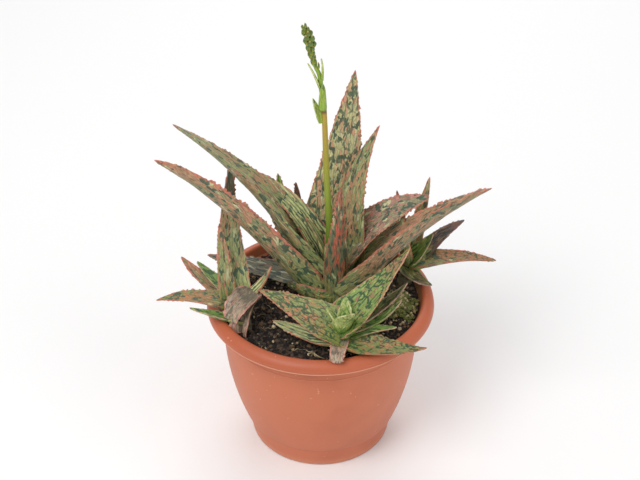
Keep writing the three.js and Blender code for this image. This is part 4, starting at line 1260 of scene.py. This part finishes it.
class ALOE_OT_soil_bits(bpy.types.Operator):
    """Scatter perlite, bark, crumbs and dry roots, and grow the moss cushion."""
    bl_idname = "aloe.soil_bits"
    bl_label = "Soil bits"

    def execute(self, context):
        settings = context.scene.aloe_soil
        relief = settings.crumb_relief / MM
        chance = random.Random(21)

        crumb = mottled("Crumb", settings.dark, settings.light)
        shapes = grain_shapes(chance, 6, 0.7, 1.15, detail=1)
        self.strew(chance, relief, "soil_crumbs", settings.crumbs, shapes, crumb, (0.3, 1.5), sink=0.25)

        grain = mottled("Perlite", settings.grain, shade("A88F66"))
        shapes = grain_shapes(chance, 5, 0.75, 1.1)
        self.strew(chance, relief, "soil_perlite", settings.perlite, shapes, grain, (0.3, 1.25), sink=0.35)

        bark = mottled("Bark", settings.bark, shade("2F241B"))
        shapes = grain_shapes(chance, 5, 0.7, 1.15, flat=0.28, detail=1)
        self.strew(chance, relief, "soil_bark", settings.chips, shapes, bark, (0.8, 2.3), sink=0.25,
                   lean=0.9)

        self.grow_roots(chance, relief, settings)
        self.grow_moss(chance, relief, settings)
        self.dust_moss(chance, relief, grain)
        return {"FINISHED"}

    def strew(self, chance, relief, name, count, shapes, material, sizes, sink, lean=3.0):
        """One piece of small shapes that lie all over the soil, raised by a share of their size."""
        bm = bmesh.new()
        for x, y in scattered(chance, count, SOIL_EDGE - 1):
            size = chance.uniform(*sizes) * chance.uniform(0.6, 1)
            spot = Vector((x, y, soil_height(x, y, relief) + size * sink))
            put_shape(bm, chance.choice(shapes), spot, size, any_turn(chance, lean))
        to_metres(bm)
        new_piece(name, bm, material)

    def grow_roots(self, chance, relief, settings):
        """Thin dry roots that wander over the soil, and one that splits."""
        bm = bmesh.new()
        for x, y in scattered(chance, settings.roots, SOIL_EDGE - 4):
            points = []
            heading = chance.uniform(0, 2 * math.pi)
            reach = chance.uniform(0.8, 1.9)
            for _ in range(7):
                points.append((x, y, soil_height(x, y, relief) + chance.uniform(0.0, 1.2)))
                heading += chance.uniform(-0.8, 0.8)
                x += reach * math.cos(heading)
                y += reach * math.sin(heading)
            if math.hypot(x, y) > SOIL_EDGE:
                continue
            scale = chance.uniform(0.6, 1.3)
            girths = [scale * girth for girth in ROOT_GIRTHS]
            limb(bm, smooth_path(points, ROOT_STEPS), spread(girths, ROOT_STEPS), 5)
        for tip in SPLIT_TIPS:
            points = (*SPLIT_FOOT, Vector((-4, -49, 88)).lerp(Vector(tip), 0.5), tip)
            radii = spread((0.3, 0.38, 0.3, 0.12), ROOT_STEPS)
            limb(bm, smooth_path(points, ROOT_STEPS), radii, 6, wrinkle=0.5)
        to_metres(bm)
        root = mottled("Dry root", settings.root, shade("6B5A3E"))
        new_piece("soil_roots", bm, root, crease=180)

    def moss_tuft(self, chance):
        """The mesh of five moss leaves that spread from one foot."""
        bm = bmesh.new()
        for _ in range(5):
            side = Vector((chance.uniform(-1, 1), chance.uniform(-1, 1), 0))
            tip = side + Vector((0, 0, chance.uniform(0.7, 1.5)))
            middle = side * 0.35 + Vector((0, 0, 0.7))
            limb(bm, smooth_path(((0, 0, -0.4), middle, tip), 3), TUFT_GIRTHS, 4)
        return make_mesh("tuft", bm)

    def grow_moss(self, chance, relief, settings):
        """The cushion of moss tufts at the right of the plant."""
        tufts = [self.moss_tuft(chance) for _ in range(6)]
        bm = bmesh.new()
        for _ in range(settings.moss):
            x, y = chance.gauss(MOSS_X, 6.5), chance.gauss(MOSS_Y, 9)
            if math.hypot(x, y) > SOIL_EDGE - 0.3 or cushion(x, y) < 0.42:
                continue
            foot = Vector((x, y, soil_height(x, y, relief) + 0.8 * cushion(x, y)))
            put_shape(bm, chance.choice(tufts), foot, chance.uniform(0.5, 1.1), any_turn(chance, 0.7))
        to_metres(bm)
        stops = ((0.0, tuple(settings.moss_low)), (0.55, shade("4F5C2C")), (1.0, tuple(settings.moss_high)))
        new_piece("soil_moss", bm, stalk_material("Moss", stops, 0.9), crease=180)

    def dust_moss(self, chance, relief, grain):
        """Pale grains that lie on and about the moss."""
        bm = bmesh.new()
        shapes = grain_shapes(chance, 4, 0.7, 1.15)
        for _ in range(MOSS_GRAINS):
            x, y = chance.gauss(MOSS_X + 1, 5.5), chance.gauss(MOSS_Y + 1, 8)
            if math.hypot(x, y) < SOIL_EDGE - 1:
                size = chance.uniform(0.3, 1.15)
                spot = Vector((x, y, soil_height(x, y, relief) + 1.1 * cushion(x, y) + size * 0.4))
                put_shape(bm, chance.choice(shapes), spot, size, any_turn(chance))
        to_metres(bm)
        new_piece("soil_moss_grains", bm, grain)


# Stage

# Each light's name, place, size in metres and power in watts
LIGHTS = (
    ("key", (-0.5, -0.6, 1.1), 0.7, 8.4),
    ("fill", (0.9, -0.5, 0.7), 1.0, 2.4),
    ("back", (0.1, 0.9, 0.9), 1.0, 5.0),
)


class ALOE_OT_stage(bpy.types.Operator):
    """Lay the pale floor and set the camera and the soft lights."""
    bl_idname = "aloe.stage"
    bl_label = "Stage"

    def execute(self, context):
        scene = context.scene
        settings = scene.aloe_stage
        bm = bmesh.new()
        bmesh.ops.create_grid(bm, x_segments=2, y_segments=2, size=4.0)
        floor = add_object("floor", make_mesh("floor", bm))
        floor.location.z = -0.0002
        material, _, shader = new_material("Studio floor")
        shader.inputs["Base Color"].default_value = settings.floor
        shader.inputs["Roughness"].default_value = 0.8
        floor.data.materials.append(material)

        target = Vector((-0.0003, 0, settings.aim))
        back = Vector((0, -math.cos(settings.elevation), math.sin(settings.elevation)))
        data = bpy.data.cameras.new("Camera")
        data.sensor_width = 36
        data.lens = settings.lens
        camera = add_object("Camera", data)
        camera.location = target + back * settings.distance
        camera.rotation_euler = (math.pi / 2 - settings.elevation, 0, 0)
        scene.camera = camera

        for name, place, size, power in LIGHTS:
            data = bpy.data.lights.new(name, "AREA")
            data.shape = "DISK"
            data.size = size
            data.energy = power
            light = add_object(name, data)
            light.location = place
            aim = Vector((0, 0, 0.1)) - Vector(place)
            light.rotation_euler = aim.to_track_quat("-Z", "Y").to_euler()

        world = bpy.data.worlds.new("Studio")
        world.use_nodes = True
        sky = world.node_tree.nodes["Background"]
        sky.inputs["Color"].default_value = (1, 1, 1, 1)
        sky.inputs["Strength"].default_value = 0.5
        scene.world = world
        scene.view_settings.view_transform = "Standard"
        return {"FINISHED"}


STEPS = (ALOE_OT_pot, ALOE_OT_soil, ALOE_OT_soil_bits, ALOE_OT_stems, ALOE_OT_main_leaves,
         ALOE_OT_offset_leaves, ALOE_OT_stalk, ALOE_OT_stage)


class ALOE_PT_panel(bpy.types.Panel):
    """The aloe's steps, in the order in which they are made."""
    bl_idname = "ALOE_PT_panel"
    bl_label = "Potted aloe"
    bl_space_type = "VIEW_3D"
    bl_region_type = "UI"
    bl_category = "Aloe"

    def draw(self, context):
        for step in STEPS:
            self.layout.operator(step.bl_idname)
        for group in GROUPS:
            settings = getattr(context.scene, group)
            box = self.layout.box()
            for key in settings.__annotations__:
                box.prop(settings, key)


CLASSES = (*GROUPS.values(), *STEPS, ALOE_PT_panel)


def register():
    for item in CLASSES:
        bpy.utils.register_class(item)
    for name, group in GROUPS.items():
        setattr(bpy.types.Scene, name, bpy.props.PointerProperty(type=group))


def unregister():
    for name in GROUPS:
        delattr(bpy.types.Scene, name)
    for item in reversed(CLASSES):
        bpy.utils.unregister_class(item)


def main():
    register()
    make_mottle_group()
    make_blade_group()
    bpy.ops.aloe.pot()
    bpy.ops.aloe.soil()
    bpy.ops.aloe.soil_bits()
    bpy.ops.aloe.stems()
    bpy.ops.aloe.main_leaves()
    bpy.ops.aloe.offset_leaves()
    bpy.ops.aloe.stalk()
    bpy.ops.aloe.stage()


if __name__ == "__main__":
    main()
